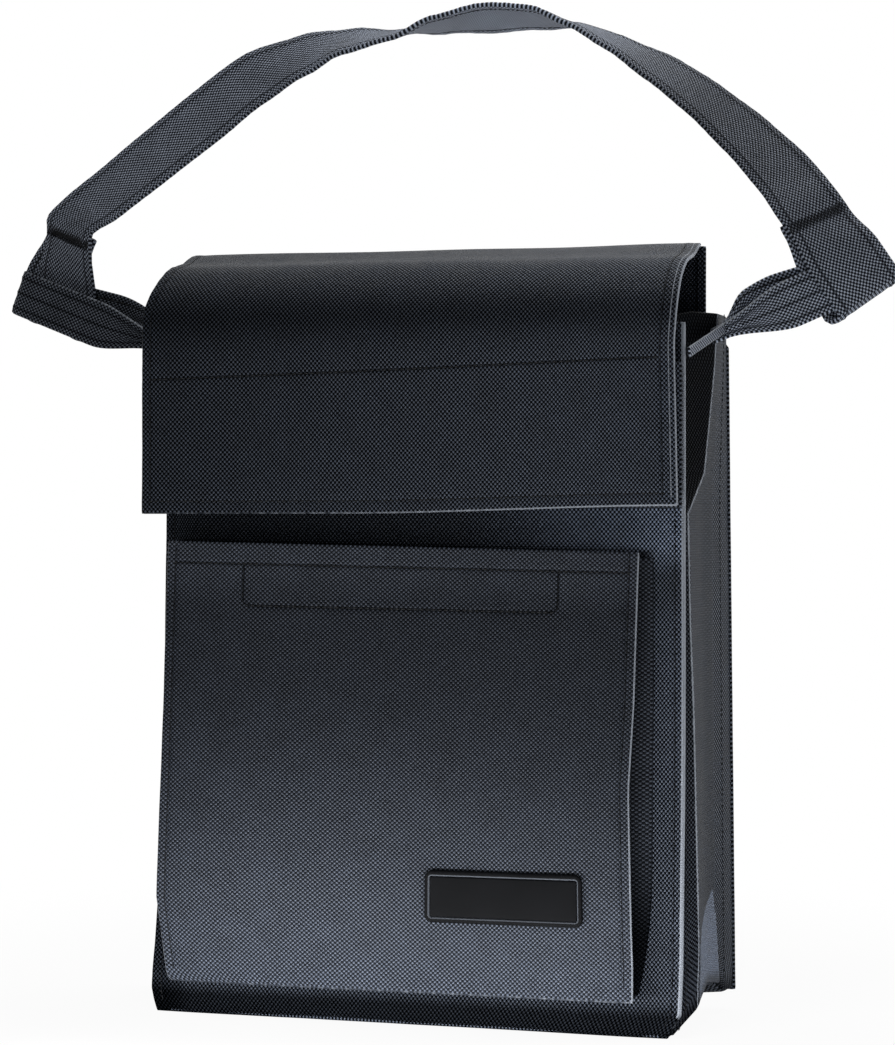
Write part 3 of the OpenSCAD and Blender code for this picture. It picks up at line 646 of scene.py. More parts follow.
# The pocket's belly, how its foot sags forward, its mouth lies back and its sides round back, and its slack
BELLY, POCKET_SAG, MOUTH_IN, POCKET_ROUND = 2.2, 3.4, 1.2, 2.6
POCKET_SLACK, POCKET_WAVE, POCKET_SEED = 0.7, 85.0, 31
# Painted light and shade on the pocket's cloth from its foot to its mouth, lightest at the foot
POCKET_LIGHT_V, POCKET_LIGHT = (0, 0.1, 0.3, 0.5, 0.7, 0.86, 0.95, 1), (1.36, 1.14, 0.9, 0.71, 0.6, 0.62, 1.0, 1.0)


def pocket_place(u, v):
    """The pocket's bellied and slack face."""
    share, high = u / POCKET_HALF, v / POCKET_H
    right, left = np.interp(v, RIGHT_IN_V, RIGHT_IN), np.interp(v, LEFT_OUT_V, LEFT_OUT)
    x = POCKET_X + u - right * ease(share) - left * ease(-share)
    belly = BELLY * np.sin(math.pi * np.clip(high, 0, 1)) + POCKET_SAG * np.clip(1 - high, 0, PAST) ** 2
    y = POCKET_MID - belly + MOUTH_IN * np.clip(high, 0, PAST) ** 3 + POCKET_ROUND * np.abs(share) ** 3
    soft = POCKET_SLACK * waves(u, v, POCKET_WAVE, POCKET_SEED) * (1 - np.abs(share) ** 4)
    z = POCKET_LOW[2] + v + mouth_tilt(u) * np.clip(high, 0, PAST) ** 2
    return settle(np.stack([x, y - soft, z], -1), drawn=False)


POCKET_HEM, POCKET_SEAM_IN, POCKET_SEAM_END = 8.8, 3.5, 1.0
# The sewn box over the hook tape: how far outside the tape it runs, and its cut corners
BOX_LEFT, BOX_RIGHT, BOX_LOW, BOX_CUT = 1.6, 2.6, 1.0, 2.0
pocket_hem = POCKET_H - POCKET_HEM
pocket_seam = POCKET_HALF - POCKET_SEAM_IN
box_left, box_right = STRIP_LOW[0] - POCKET_X - BOX_LEFT, STRIP_HIGH[0] - POCKET_X + BOX_RIGHT
box_low = STRIP_LOW[2] - POCKET_LOW[2] - BOX_LOW
cloth_piece(
    "pocket_cloth", pocket_place, (-POCKET_HALF, POCKET_HALF), (0, POCKET_H), TURNED_CLOTH, "pocket",
    ["pocket_panel"],
    seams=[level_line(pocket_seam, pocket_hem),
           [(box_left, pocket_hem), (box_left, box_low + BOX_CUT), (box_left + BOX_CUT, box_low),
            (box_right - BOX_CUT, box_low), (box_right, box_low + BOX_CUT), (box_right, pocket_hem)]],
    quiet=upright_lines(pocket_seam, SEAM_FOOT, POCKET_H - POCKET_SEAM_END),
    folds=[((POCKET_HALF, 0), (POCKET_HALF, POCKET_H), 0, 0.05),
           ((POCKET_HALF, 0), (-POCKET_HALF, 0), 0.2, 0.25),
           ((-POCKET_HALF, 0), (-POCKET_HALF, POCKET_H), 0.1, 0.35),
           ((POCKET_HALF, POCKET_H), (-POCKET_HALF, POCKET_H), 0.35, 0.5)],
    seed=12, marks_v=(box_low + BOX_CUT, LEFT_OUT_V[2]),
    shade=lambda u, v: np.interp(v / POCKET_H, POCKET_LIGHT_V, POCKET_LIGHT))


# A pleat's strip: its width, where it folds, how it closes at its foot, and how far it stays off the
# pocket's edge, the pocket's inner face and the front. Then its painted shade, in its fold and at its foot
PLEAT_FLAT, PLEAT_FOLD = 20.0, 11.0
PLEAT_CLOSE, PLEAT_CLOSE_H = 5.0, 50.0
PLEAT_EDGE, PLEAT_BEHIND, PLEAT_SEAT, PLEAT_PAST = 0.6, 1.0, 0.4, 0.2
PLEAT_SHADE, PLEAT_DARK, PLEAT_DARK_U = 0.85, 0.5, (0, 9)
PLEAT_FOOT, PLEAT_FOOT_V = 0.1, (20, 75)


def from_front(side, u):
    """Flat distance from a pleat's seam on the front. The right strip starts at its other end, so that its
    outer face looks out."""
    return PLEAT_FLAT - u if side > 0 else u


def pleat_place(side):
    """A pleat's strip from the front's seam round the inner fold to the pocket's edge."""
    def place(u, v):
        u, v = evenly(u, v)
        run = from_front(side, u)
        edge = pocket_place(side * POCKET_HALF + 0 * v, v)
        edge_x, edge_y = edge[..., 0] - side * PLEAT_EDGE, edge[..., 1]
        closing = PLEAT_CLOSE * low_share(v, PLEAT_CLOSE_H) ** 2
        seat_x = POCKET_X + side * (POCKET_HALF + PLEAT_OUT - closing)
        seat = np.stack([seat_x, FRONT_LOW[1] - PLEAT_SEAT + 0 * v, SEAT_LOW[2] + v], -1)
        seam_x, seam_y, z = np.moveaxis(settle(seat, drawn=False), -1, 0)
        fold_x = side * np.minimum(side * edge_x, side * seam_x) - side * PLEAT_IN
        fold_y = (edge_y + seam_y) / 2
        first = np.clip(run / PLEAT_FOLD, -PLEAT_PAST, 1)
        second = np.clip((run - PLEAT_FOLD) / (PLEAT_FLAT - PLEAT_FOLD), 0, 1 + PLEAT_PAST)
        x = seam_x + (fold_x - seam_x) * first + (edge_x - fold_x) * second
        y = seam_y + (fold_y - seam_y) * first + (edge_y + PLEAT_BEHIND - fold_y) * second
        return np.stack([x, y, z], -1)
    return place


def pleat_shade(side):
    """Painted shade darkens a pleat most in its inner fold and at its foot, where it closes."""
    def shade(u, v):
        fold = PLEAT_SHADE - PLEAT_DARK * ramp(from_front(side, u), *PLEAT_DARK_U)
        return fold * (PLEAT_FOOT + (1 - PLEAT_FOOT) * ramp(v, *PLEAT_FOOT_V))
    return shade


pleat_h = SEAT_HIGH[2] - SEAT_LOW[2]
for side, word in SIDES:
    pleat = cloth_piece(
        f"pocket_{word}_fold", pleat_place(side), (0, PLEAT_FLAT), (0, pleat_h), TURNED_CLOTH, None,
        [f"pocket_{word}_pleat"], thick=PLEAT, step=5, uneven=0.15, seed=13,
        marks_u=(from_front(side, PLEAT_FOLD),), shade=pleat_shade(side))
    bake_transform(pleat)

# The pocket's floor: depth, sag, how far it stays above the pocket's lower edge and behind it, and painted
# shade
FLOOR_RUN, FLOOR_SAG, FLOOR_UP, FLOOR_BEHIND, FLOOR_SHADE = 14.0, 0.8, 0.5, 0.8, 0.5


def pocket_floor_place(u, v):
    """The pocket's floor, from the pocket's lower edge back to the front."""
    edge = pocket_place(u, 0 * v)
    near = settle(np.stack([POCKET_X + u, FRONT_LOW[1] + 0 * u, POCKET_LOW[2] + 0 * u], -1), drawn=False)
    y = near[..., 1] + (edge[..., 1] + FLOOR_BEHIND - near[..., 1]) * (1 - v / FLOOR_RUN)
    z = POCKET_LOW[2] + FLOOR_UP + FLOOR_SAG * np.sin(v / FLOOR_RUN * math.pi) + 0 * u
    return np.stack([edge[..., 0], y, z], -1)


cloth_piece(
    "pocket_floor_cloth", pocket_floor_place, (-POCKET_HALF, POCKET_HALF), (0, FLOOR_RUN), TURNED_CLOTH,
    "front", ["pocket_base_fold"], thick=PLEAT, step=5, uneven=0.1,
    shade=one_shade(FLOOR_SHADE))


# Flap

SKIRT_Y = FLAP_LOW[1] + CLOTH / 2
FLAP_Z = FLAP_LOW[2]
roof_reach = RIDGE_Y - SKIRT_Y
bend_tangent = BEND_R * math.tan(math.radians((90 - ROOF_SLOPE) / 2))
roof_len = roof_reach / math.cos(math.radians(ROOF_SLOPE)) - bend_tangent
skirt_len = RIDGE_Z - roof_reach * math.tan(math.radians(ROOF_SLOPE)) - bend_tangent - FLAP_Z
bend_len = BEND_R * math.radians(90 - ROOF_SLOPE)
flap_len = skirt_len + bend_len + roof_len
FLAP_LEGS = [(skirt_len, 0), (bend_len, ROOF_SLOPE - 90), (roof_len, 0)]
# How far the skirt flares, in waves and on the left, how the left shoulder is drawn in, and the ridge's crown
FLARE, FLARE_EVEN, FLARE_WAVE, LEFT_FLARE, LEFT_FLARE_END = 1.6, 0.6, 26.0, 3.0, 0.7
SHOULDER_IN, SHOULDER_FROM, SHOULDER_GROWN, SHOULDER_END = 5.0, 6.0, 0.7, 0.9
RIDGE_CROWN, RIDGE_RUN = 1.6, 26.0
FLAP_LEFT, FLAP_RIGHT, RISE_SIDE = (-70, -120), (50, 120), (-30, 120)
PATH_PAST = 9.0


def walk(start, heading, legs, distance):
    """Places along a flat path of straight and round legs, each a length and a turn in degrees."""
    a, b = start[0] + 0.0 * distance, start[1] + 0.0 * distance
    begun, heading = 0.0, math.radians(heading)
    for number, (length, turn) in enumerate(legs):
        low = -PATH_PAST if number == 0 else 0.0
        high = length + (PATH_PAST if number == len(legs) - 1 else 0.0)
        gone = np.clip(distance - begun, low, high)
        if turn:
            r = length / math.radians(turn)
            a = a + r * (np.sin(heading + gone / r) - math.sin(heading))
            b = b - r * (np.cos(heading + gone / r) - math.cos(heading))
        else:
            a, b = a + gone * math.cos(heading), b + gone * math.sin(heading)
        begun, heading = begun + length, heading + math.radians(turn)
    return a, b


# How far the flap's right edge is drawn in at places along it, and how far its lower edge rises to the right
RIGHT_TUCK_V = (0, skirt_len * 0.9, skirt_len + bend_len * 0.5, skirt_len + bend_len, flap_len)
RIGHT_TUCK, LOW_RISE = (3.6, 5.2, 3.0, 0.8, 1.3), 3.2
# Painted shade in the bend: how dark, how far above the skirt and how wide. Then painted light, more to the
# right
BEND_SHADE, BEND_SHADE_UP, BEND_SHADE_W = 0.5, 6.0, 11.0
FLAP_LIGHT, FLAP_LIGHT_RIGHT = 0.9, 0.32


def flap_shade(u, v):
    """Painted shade lies on the lower part of the flap's bend, and painted light makes its right side lighter
    than its left.
    """
    bend = 1 - BEND_SHADE * np.exp(-((v - skirt_len - BEND_SHADE_UP) / BEND_SHADE_W) ** 2)
    return bend * (FLAP_LIGHT + FLAP_LIGHT_RIGHT * u / HALF_W)


def flap_place(u, v):
    """The flap: up its flared skirt, round the bend and over the roof to the ridge."""
    u, v = evenly(u, v)
    y, z = walk((SKIRT_Y, FLAP_Z), 90, FLAP_LEGS, v)
    low, above = low_share(v, skirt_len, PAST), v - skirt_len
    flare = FLARE * low ** 2 * (FLARE_EVEN + (1 - FLARE_EVEN) * np.cos(u / FLARE_WAVE))
    on_left = ramp(u, *FLAP_LEFT)
    left = LEFT_FLARE * on_left * ease(1 - (above - bend_len * LEFT_FLARE_END) / roof_len)
    shoulder = ease((above - SHOULDER_FROM) / (bend_len * SHOULDER_GROWN))
    shoulder = shoulder * ease(1 - (above - bend_len * SHOULDER_END) / roof_len)
    left = left - SHOULDER_IN * shoulder * on_left
    right = np.interp(v, RIGHT_TUCK_V, RIGHT_TUCK) * ramp(u, *FLAP_RIGHT)
    crown = RIDGE_CROWN * ease((v - flap_len + RIDGE_RUN) / RIDGE_RUN)
    rise = LOW_RISE * ramp(u, *RISE_SIDE) * low
    return np.stack([u - left - right, y - flare, z + crown + rise], -1)


# The flap's edge seams: distance from the left, right and lower edge, and from the ridge
FLAP_SEAM_LEFT, FLAP_SEAM_RIGHT, FLAP_HEM, FLAP_SEAM_END = 3.5, 6.0, 5.0, 2.0
# The sewn line across the flap: its height at the left and at the right, and its distance from the edges
SEWN_LEFT, SEWN_RIGHT, SEWN_FROM, SEWN_TO = 59.3, 65.7, 5.0, 8.0
SEWN_ROW, SEWN_BESIDE, BEND_ROWS = 0.7, 2.0, 8
FLAP_LAP, FLAP_WEAR_GLINT_IN = 1.2, 2.2
flap_left, flap_right, flap_wear_glint = FLAP_SEAM_LEFT - HALF_W, HALF_W - FLAP_SEAM_RIGHT, HALF_W - FLAP_WEAR_GLINT_IN
flap_top = flap_len - FLAP_SEAM_END
sewn_rows = np.arange(SEWN_LEFT - SEWN_BESIDE, SEWN_RIGHT + SEWN_BESIDE, SEWN_ROW)
bend_rows = [skirt_len + bend_len * k / BEND_ROWS for k in range(BEND_ROWS + 1)]
cloth_piece(
    "flap_cloth", flap_place, (-HALF_W, HALF_W), (0, flap_len + FLAP_LAP), BODY_CLOTH, "flap", ["flap_outer"],
    seams=[[(SEWN_FROM - HALF_W, SEWN_LEFT), (HALF_W - SEWN_TO, SEWN_RIGHT)]],
    quiet=[[(flap_left, FLAP_HEM), (flap_right, FLAP_HEM)], [(flap_left, FLAP_HEM), (flap_left, flap_top)],
           [(flap_right, FLAP_HEM), (flap_right, flap_top)]],
    folds=[((HALF_W, 0), (HALF_W, flap_len), 0, 0), ((flap_wear_glint, 3), (flap_wear_glint, flap_len), -0.05, -0.05),
           ((HALF_W, 0), (-HALF_W, 0), 0, 0.25)],
    seed=14, step=5, marks_u=(flap_wear_glint,), marks_v=(*bend_rows, *sewn_rows), shade=flap_shade)

FACING_SEAM_IN = 3.0
facing_h = FACING_HIGH[2] - FACING_LOW[2]


def facing_place(u, v):
    """The flat facing inside the flap's skirt."""
    return np.stack([u, FACING_LOW[1] + LINING / 2 + 0 * v, FACING_LOW[2] + v + 0 * u], -1)


cloth_piece(
    "flap_facing_cloth", facing_place, (FACING_LOW[0], FACING_HIGH[0]), (0, facing_h), BODY_CLOTH, "flap",
    ["flap_facing"], thick=LINING, uneven=0.0, faces=(-1,), groove=0.2,
    seams=[box_line(FACING_LOW[0] + FACING_SEAM_IN, FACING_HIGH[0] - FACING_SEAM_IN, FACING_SEAM_IN,
                    facing_h - FACING_SEAM_IN)])


# Tapes that close the flap and the pocket

TAPE_SEAM_IN, TAPE_BEHIND = 2.0, 0.5


def tape_piece(name, node_name, body, material, faces, carrier=None):
    """A strip of hook or loop tape, sewn round its edge. A carrier puts it on its cloth."""
    low, high = box_mm(node_name)
    middle, depth = (low[1] + high[1]) / 2, high[1] - low[1]
    half, tall = (high[0] - low[0]) / 2, high[2] - low[2]
    x = (high[0] + low[0]) / 2

    def place(u, v):
        if carrier:
            return carrier(x + u, low[2] + v, depth)
        return np.stack([x + u, middle + 0 * v, low[2] + v + 0 * u], -1)
    sewn = box_line(TAPE_SEAM_IN - half, half - TAPE_SEAM_IN, TAPE_SEAM_IN, tall - TAPE_SEAM_IN)
    return cloth_piece(name, place, (-half, half), (0, tall), material, body, [node_name], thick=depth,
                       uneven=0.0, step=4, seams=[sewn], faces=faces, groove=0.3)


def on_front(x, z, depth):
    """Places on the outer face of the front."""
    return front_place(x, z) + normals_of(front_place, x, z) * (CLOTH + depth) / 2


def in_pocket(x, z, depth):
    """Places on the inner face of the pocket."""
    u, v = evenly(x - POCKET_X, z - POCKET_LOW[2])
    return pocket_place(u, v) - normals_of(pocket_place, u, v) * ((CLOTH + depth) / 2 + TAPE_BEHIND)


tape_piece("front_loop_tape", "front_loop_strip", "front", LOOP_TAPE, (1,), on_front)
tape_piece("pocket_loop_tape", "pocket_loop_strip", "front", LOOP_TAPE, (1,), on_front)
tape_piece("flap_hook_tape", "flap_hook_strip", "flap", HOOK_TAPE, (-1,))
tape_piece("pocket_hook_tape", "pocket_hook_strip", "pocket", HOOK_TAPE, (-1,), in_pocket)


# Back and linings

SHOULDER_Z = FRONT_H - SHOULDER_H / 2
BACK_BOW, BACK_LAP = 1.2, 0.8
# Seams of the back: distance from the side edges, ends of the upright ones, and the lower level one
BACK_SEAM_IN, BACK_SEAM_FOOT, BACK_SEAM_END, BACK_SEAM_LOW = 3.5, 10.0, 3.0, 11.0


def back_place(u, v):
    """The back, a little bowed, narrower above its shoulders."""
    half = np.interp(v, [SHOULDER_Z, SHOULDER_Z + SHOULDER_H], [BACK_HALF, HALF_W])
    across = np.clip(u / BACK_HALF, -1, 1)
    bow = BACK_BOW * np.sin(math.pi * np.clip(v / FRONT_H, 0, 1)) * np.cos(math.pi / 2 * across)
    return settle(np.stack([-u / BACK_HALF * half, BACK_MID + bow, v + 0 * u], -1))


back_seam, back_top = BACK_HALF - BACK_SEAM_IN, RIDGE_Z + BACK_LAP
cloth_piece(
    "back_cloth", back_place, (-BACK_HALF, BACK_HALF), (BACK_LOW[2], back_top), BODY_CLOTH, "shell",
    ["back_panel"], seed=15, marks_v=(SHOULDER_Z, SHOULDER_Z + SHOULDER_H),
    seams=[*upright_lines(back_seam, BACK_SEAM_FOOT, back_top - BACK_SEAM_END),
           level_line(back_seam, BACK_SEAM_LOW), level_line(back_seam, FRONT_H)],
    folds=[((-BACK_HALF, back_top), (BACK_HALF, back_top), 0.3, 0.3)])

LINING_SEAM_IN, LINING_HEM = 2.0, 3.0


def lining_piece(name, node_name, body, flip, material=FIRE_LINING, cut=0.0):
    """A flat lining sheet against the inside of the front or the back."""
    low, high = box_mm(node_name)
    middle = (low[1] + high[1]) / 2

    def place(u, v):
        share = 1 - cut / high[0] * low_share(v - low[2], CORNER_CUT_H)
        curl = 0 if flip > 0 else foot_curl(v)
        return settle(np.stack([flip * u * share, middle + curl + 0 * v + 0 * u, v + 0 * u], -1))
    hem = high[2] - LINING_HEM
    return cloth_piece(name, place, (low[0], high[0]), (low[2], high[2]), material, body, [node_name],
                       thick=high[1] - low[1], uneven=0.0, step=8, groove=0.2,
                       seams=[[(low[0] + LINING_SEAM_IN, hem), (high[0] - LINING_SEAM_IN, hem)]])


lining_piece("back_lining_cloth", "back_lining", "shell", 1)
lining_piece("front_lining_cloth", "front_lining", "front", -1, cut=CORNER_CUT)
lining_piece("front_mouth_hem_cloth", "front_mouth_hem", "front", -1, BODY_CLOTH)


# Folded side walls

SEAM_Y = FRONT_HIGH[1] + SEAM_FRONT
EDGE_X, BACK_X = HALF_W - SEAM_IN, BACK_HALF - SEAM_IN / 2
VALLEY_X, NECK_X = 125.0, BACK_HALF - 2 * SEAM_IN
CREASE_Y, VALLEY_Y = FRONT_LOW[1] + CREASE_IN, BACK_HIGH[1] - VALLEY_IN
GROOVE_Y = (SEAM_Y + CREASE_Y) / 2
UPPER_Y = 2 * NECK_Y - BACK_HIGH[1]
CREASE_Z, CREASE_X = (0, 20, 57, 98, 140, 176, 211), (127.2, 127.0, 126.0, 124.7, 123.5, 122.1, 121.2)
# How far the groove beside the seam is drawn in, and how far the wall stands out behind its upper folds
GROOVE_IN, BEHIND_OUT = 2.2, 0.5


def wall_row(z):
    """The side wall's corners below its upper fold, front to back: seam, groove, crease, valley, seam."""
    crease = np.interp(z, CREASE_Z, CREASE_X)
    cut = CORNER_CUT * low_share(z, CORNER_CUT_H)
    groove = (EDGE_X + crease) / 2 - GROOVE_IN * np.clip(z / FOLD_Z, 0, 1) - cut / 2
    return [(EDGE_X - cut, SEAM_Y), (groove, GROOVE_Y), (crease, CREASE_Y), (VALLEY_X, VALLEY_Y),
            (BACK_X, BACK_IN)]


SIDE_ROWS = {z: wall_row(z) for z in (0, CORNER_CUT_H, 20, TUCK_H, 98, 140, 176, FOLD_Z)}
SIDE_ROWS[FOLD_Z + FOLD_RUN] = [
    (EDGE_X, SEAM_Y), (EDGE_X - MOUTH_TUCK / 2, CREASE_Y + CREASE_IN / 2), (VALLEY_X, UPPER_Y),
    (VALLEY_X + BEHIND_OUT, VALLEY_Y), (BACK_X, BACK_IN)]
SIDE_ROWS[FRONT_H - 1] = [
    (EDGE_X, SEAM_Y), (EDGE_X - MOUTH_TUCK, CREASE_Y + CREASE_IN), (NECK_X, NECK_Y),
    (NECK_X + BEHIND_OUT, (NECK_Y + BACK_IN) / 2), (BACK_X, BACK_IN)]
# Where the sheet has points along each stretch between two corners and round a corner, and how round that is
STRETCHES = [(0.0, 0.3, 0.6), (0.2, 0.5, 0.8), np.linspace(0.04, 0.98, 26), (0.15, 0.4, 0.7, 1.0)]
ROUNDING = (0.0, 0.35, 0.65)
CORNER_ROUND, ROUND_SHARE = 1.0, 0.3
# The wall's top rises beside the mouth
TOP_RISE, TOP_RISE_Y, TOP_RISE_Z = 8.0, (-24, -2), (284, 303)
# The tuck at the foot: where it begins behind the crease, as a share of the wall to the valley, where it ends
# and how much further at the foot, how far it stands out, its painted light, which makes the right wall's
# tuck pale, and the closer rows of points at its border
TUCK_Z, TUCK_FROM = (0, 30, 38, 45.5, 55), (0.02, 0.02, 0.15, 0.5, 0.9)
TUCK_TO, TUCK_TO_FOOT, TUCK_LEAST = 0.93, 0.05, 0.02
TUCK_OUT, TUCK_FALL, TUCK_LIGHT = 2.6, 0.7, 4.2
TUCK_ROWS = range(30, 55, 2)
# The left wall's crease is folded further in than the right one's
LEFT_IN_Z, LEFT_IN, LEFT_IN_RUN = (0, 57, 140, 211, 240), (14.0, 7.5, 4.0, 2.0, 0.0), 16.0
# Painted shade on the wall, on its inner side in front of the crease, on the upper fold and at the foot
WALL_SHADE, INNER_SHADE, FOLD_SHADE, FOLD_FADE = 0.75, 0.5, 0.12, 10.0
WALL_FOOT, WALL_FOOT_Z = 0.7, (10, 2)
CREASE_WEAR_GLINT, WALL_STEP, SEAM_COLUMN = 0.35, 5.0, 3


def left_fold(y, z):
    """How far the left wall lies inside the right one's mirror image."""
    share = np.clip((y - SEAM_Y) / (CREASE_Y - SEAM_Y), 0, 1) * ease((VALLEY_Y - y) / LEFT_IN_RUN)
    return np.interp(z, LEFT_IN_Z, LEFT_IN) * share


def side_section(z):
    """Rounded outline of the right wall at heights z, as x and y from front to back."""
    keys = np.array(sorted(SIDE_ROWS))
    rows = np.array([SIDE_ROWS[k] for k in keys], float)
    corner = np.stack([[np.interp(z, keys, rows[:, c, k]) for k in (0, 1)] for c in range(5)])
    corner = np.moveaxis(corner, -1, 0)
    points = []
    for number, shares in enumerate(STRETCHES):
        a, b = corner[:, number], corner[:, number + 1]
        long = np.linalg.norm(b - a, axis=-1, keepdims=True)
        trim = np.minimum(CORNER_ROUND, ROUND_SHARE * long) / long
        first, last = (0 if number == 0 else 1), (0 if number == len(STRETCHES) - 1 else 1)
        start, stop = a + (b - a) * trim * first, b - (b - a) * trim * last
        points += [start + (stop - start) * s for s in shares]
        if last:
            c = corner[:, number + 2]
            long_c = np.linalg.norm(c - b, axis=-1, keepdims=True)
            leave = b + (c - b) * np.minimum(CORNER_ROUND, ROUND_SHARE * long_c) / long_c
            points += [(1 - t) ** 2 * stop + 2 * t * (1 - t) * b + t * t * leave for t in ROUNDING]
    return np.stack(points, 1)


crease_column = len(STRETCHES[0]) + len(ROUNDING) + len(STRETCHES[1]) + 1
wall_columns = slice(crease_column + 2, crease_column + 2 + len(STRETCHES[2]))


def tuck_of(z):
    """How far into the tuck at the foot each point of the wall lies: 0 outside, 1 at its far edge."""
    share = np.zeros((len(z), sum(len(s) for s in STRETCHES) + len(ROUNDING) * (len(STRETCHES) - 1)))
    begin = np.interp(z, TUCK_Z, TUCK_FROM)[:, None]
    end = (TUCK_TO + TUCK_TO_FOOT * (1 - z / TUCK_H))[:, None]
    along = (STRETCHES[2][None, :] - begin) / (end - begin)
    inside = (along > 0) & (along <= 1) & (z < TUCK_H)[:, None]
    share[:, wall_columns] = np.where(inside, np.maximum(along, TUCK_LEAST), 0)
    return share


def fold_flat(piece):
    """Gives the piece its own copy of its mesh."""
    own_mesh(piece)


def side_piece(side, inset, low, high, material, node_name, name, thick, lined=False):
    """One folded side wall, or its lining, as a lofted sheet."""
    z = grid_lines(low, high, WALL_STEP, (*SIDE_ROWS, *TUCK_ROWS))
    section = side_section(z)
    level = z[:, None]
    near_foot = low_share(level, TUCK_H)
    x, y = section[..., 0] - inset, section[..., 1]
    height = level + np.interp(y, [BACK_HIGH[1] - HEEL_RUN, BACK_IN], [0, BACK_LIFT]) * near_foot
    if side < 0:
        x = x - left_fold(y, level)
    tuck = tuck_of(z) * (side > 0)
    if not lined:
        x = x + tuck * TUCK_OUT * near_foot ** TUCK_FALL
        height = height + TOP_RISE * ramp(y, *TOP_RISE_Y) * ramp(level, *TOP_RISE_Z)
    points = settle(np.stack([side * x, y, height], -1))
    run = np.cumsum(np.linalg.norm(np.diff(points, axis=1, prepend=points[:, :1]), axis=-1), 1)
    unsewn = np.full_like(run, FAR)
    crease = run[:, crease_column:crease_column + 1]
    wear_and_glint = unsewn if lined else np.maximum(np.abs(run - crease) - CREASE_WEAR_GLINT, 0)
    # Painted light on the right wall's tuck, and painted shade at the foot, on the inner side, in the upper
    # fold and on the wall
    shade = np.where(tuck > 0, TUCK_LIGHT, 1.0) * (1 - WALL_FOOT * ramp(level, *WALL_FOOT_Z))
    inner = INNER_SHADE + (FOLD_SHADE - INNER_SHADE) * ramp(level, FOLD_Z - FOLD_FADE, FOLD_Z + FOLD_FADE)
    shade[:, :crease_column] *= inner
    shade[:, wall_columns] *= np.where(tuck[:, wall_columns] > 0, 1.0, WALL_SHADE)
    if side < 0:
        points, run, wear_and_glint, shade = (m[:, ::-1] for m in (points, run, wear_and_glint, shade))
    normals = unit(np.cross(np.gradient(points, axis=1), np.gradient(points, axis=0)))
    flat = np.stack([run, np.broadcast_to(level, run.shape)], -1)
    mesh = sheet_mesh(name, points, normals, flat, thick, wear_and_glint, unsewn, shade)
    piece = finish_piece(name, mesh, material, "shell", node_name)
    fold_flat(piece)
    if not lined:
        for column in (SEAM_COLUMN, points.shape[1] - SEAM_COLUMN):
            line = column if side > 0 else points.shape[1] - 1 - column
            add_stitches("side", points[:, line] + normals[:, line] * (thick / 2), normals[:, line])


# How far the wall and its lining stay above the floor, and how far the pieces stay off each other
SIDE_LOW, SIDE_LINING_LOW, LINING_CLEAR, BASE_CLEAR = 1.5, 2.6, 0.1, 0.3
for side, word in SIDES:
    side_piece(side, CLOTH / 2, SIDE_LOW, FRONT_H - 1, BODY_CLOTH, f"{word}_gusset",
               f"{word}_side_cloth", CLOTH)
    side_piece(side, CLOTH + LINING / 2 + LINING_CLEAR, SIDE_LINING_LOW, FRONT_H - MOUTH_HEM, FIRE_LINING,
               f"{word}_gusset_lining", f"{word}_side_lining", LINING, lined=True)


def base_half(y):
    """Half width of the base at a depth."""
    return np.interp(y, [SEAM_Y, CREASE_Y, VALLEY_Y, BACK_IN],
                     [EDGE_X - CORNER_CUT, CREASE_X[0], VALLEY_X, BACK_X])


def base_piece(name, node_name, low, inset, material, thick):
    """The bag's bottom, which rises at the heel."""
    def place(u, v):
        lift = BACK_LIFT * np.clip((v - BACK_HIGH[1] + HEEL_RUN) / (BACK_IN - BACK_HIGH[1] + HEEL_RUN), 0, 1)
        half = base_half(v) - inset - left_fold(v, 0) * (u > 0)
        return settle(np.stack([-u * half, v + 0 * u, low + lift + 0 * u], -1))
    piece = cloth_piece(
        name, place, (-1, 1), (SEAM_Y, BACK_IN), material, "shell", [node_name], thick=thick, step=0.04,
        uneven=0.0, flat=lambda u, v: (u * BACK_HALF, v))
    fold_flat(piece)


base_piece("base_cloth", "base_panel", CLOTH / 2, CLOTH + BASE_CLEAR, BODY_CLOTH, CLOTH)
base_piece("base_lining_cloth", "base_lining", CLOTH + LINING / 2, CLOTH + LINING + 2 * BASE_CLEAR,
           FIRE_LINING, LINING)


# Belt loops and strap

def loop_dir(side, vectors):
    """Directions in a belt loop's own frame, turned into the bag's frame."""
    rise, turn = math.radians(RISE[side]), math.radians(TURN[side])
    v = np.asarray(vectors, float)
    x = v[..., 0] * math.cos(rise) - v[..., 2] * math.sin(rise)
    return np.stack([
        x * math.cos(turn) - v[..., 1] * math.sin(turn), x * math.sin(turn) + v[..., 1] * math.cos(turn),
        v[..., 0] * math.sin(rise) + v[..., 2] * math.cos(rise)], -1)


ROOT_X = NECK_X + SEAM_FRONT + NECK_LEN


def loop_place(side, points):
    """Places in a belt loop's own frame, as places on the bag."""
    return np.array([side * ROOT_X, NECK_Y, NECK_Z]) + loop_dir(side, points)


ROOT_BACK = 9.0
# Right and left belt loop: where its end turns, and how far the worn loop is lifted along it and at the neck
TURN_X = {1: LOOP_TURN_X - 6.0, -1: LOOP_TURN_X - 3.0}
LIFTED = {1: (3.8, 1.0), -1: (1.2, 1.8)}
# The rear side's rise at the neck, how the band is gathered there, and how it is bunched under the strap
BACK_RAISED, RAISED_X = 8.5, (-2, 14)
NECK_GAP, GATHER_FROM, GATHER_RUN, GATHER_SHARE = 0.9, 4.0, 34.0, 0.72
GATHER_PUFF, GATHER_WAVES = 1.6, 4
BUNCHED, BUNCH_FROM, BUNCH_RUN = {1: 0.3, -1: 0.35}, {1: 46.0, -1: 26.0}, 24.0


def loop_length(side):
    """Length of a belt loop's band along its middle."""
    return 2 * (TURN_X[side] + ROOT_BACK) + math.pi * LOOP_R


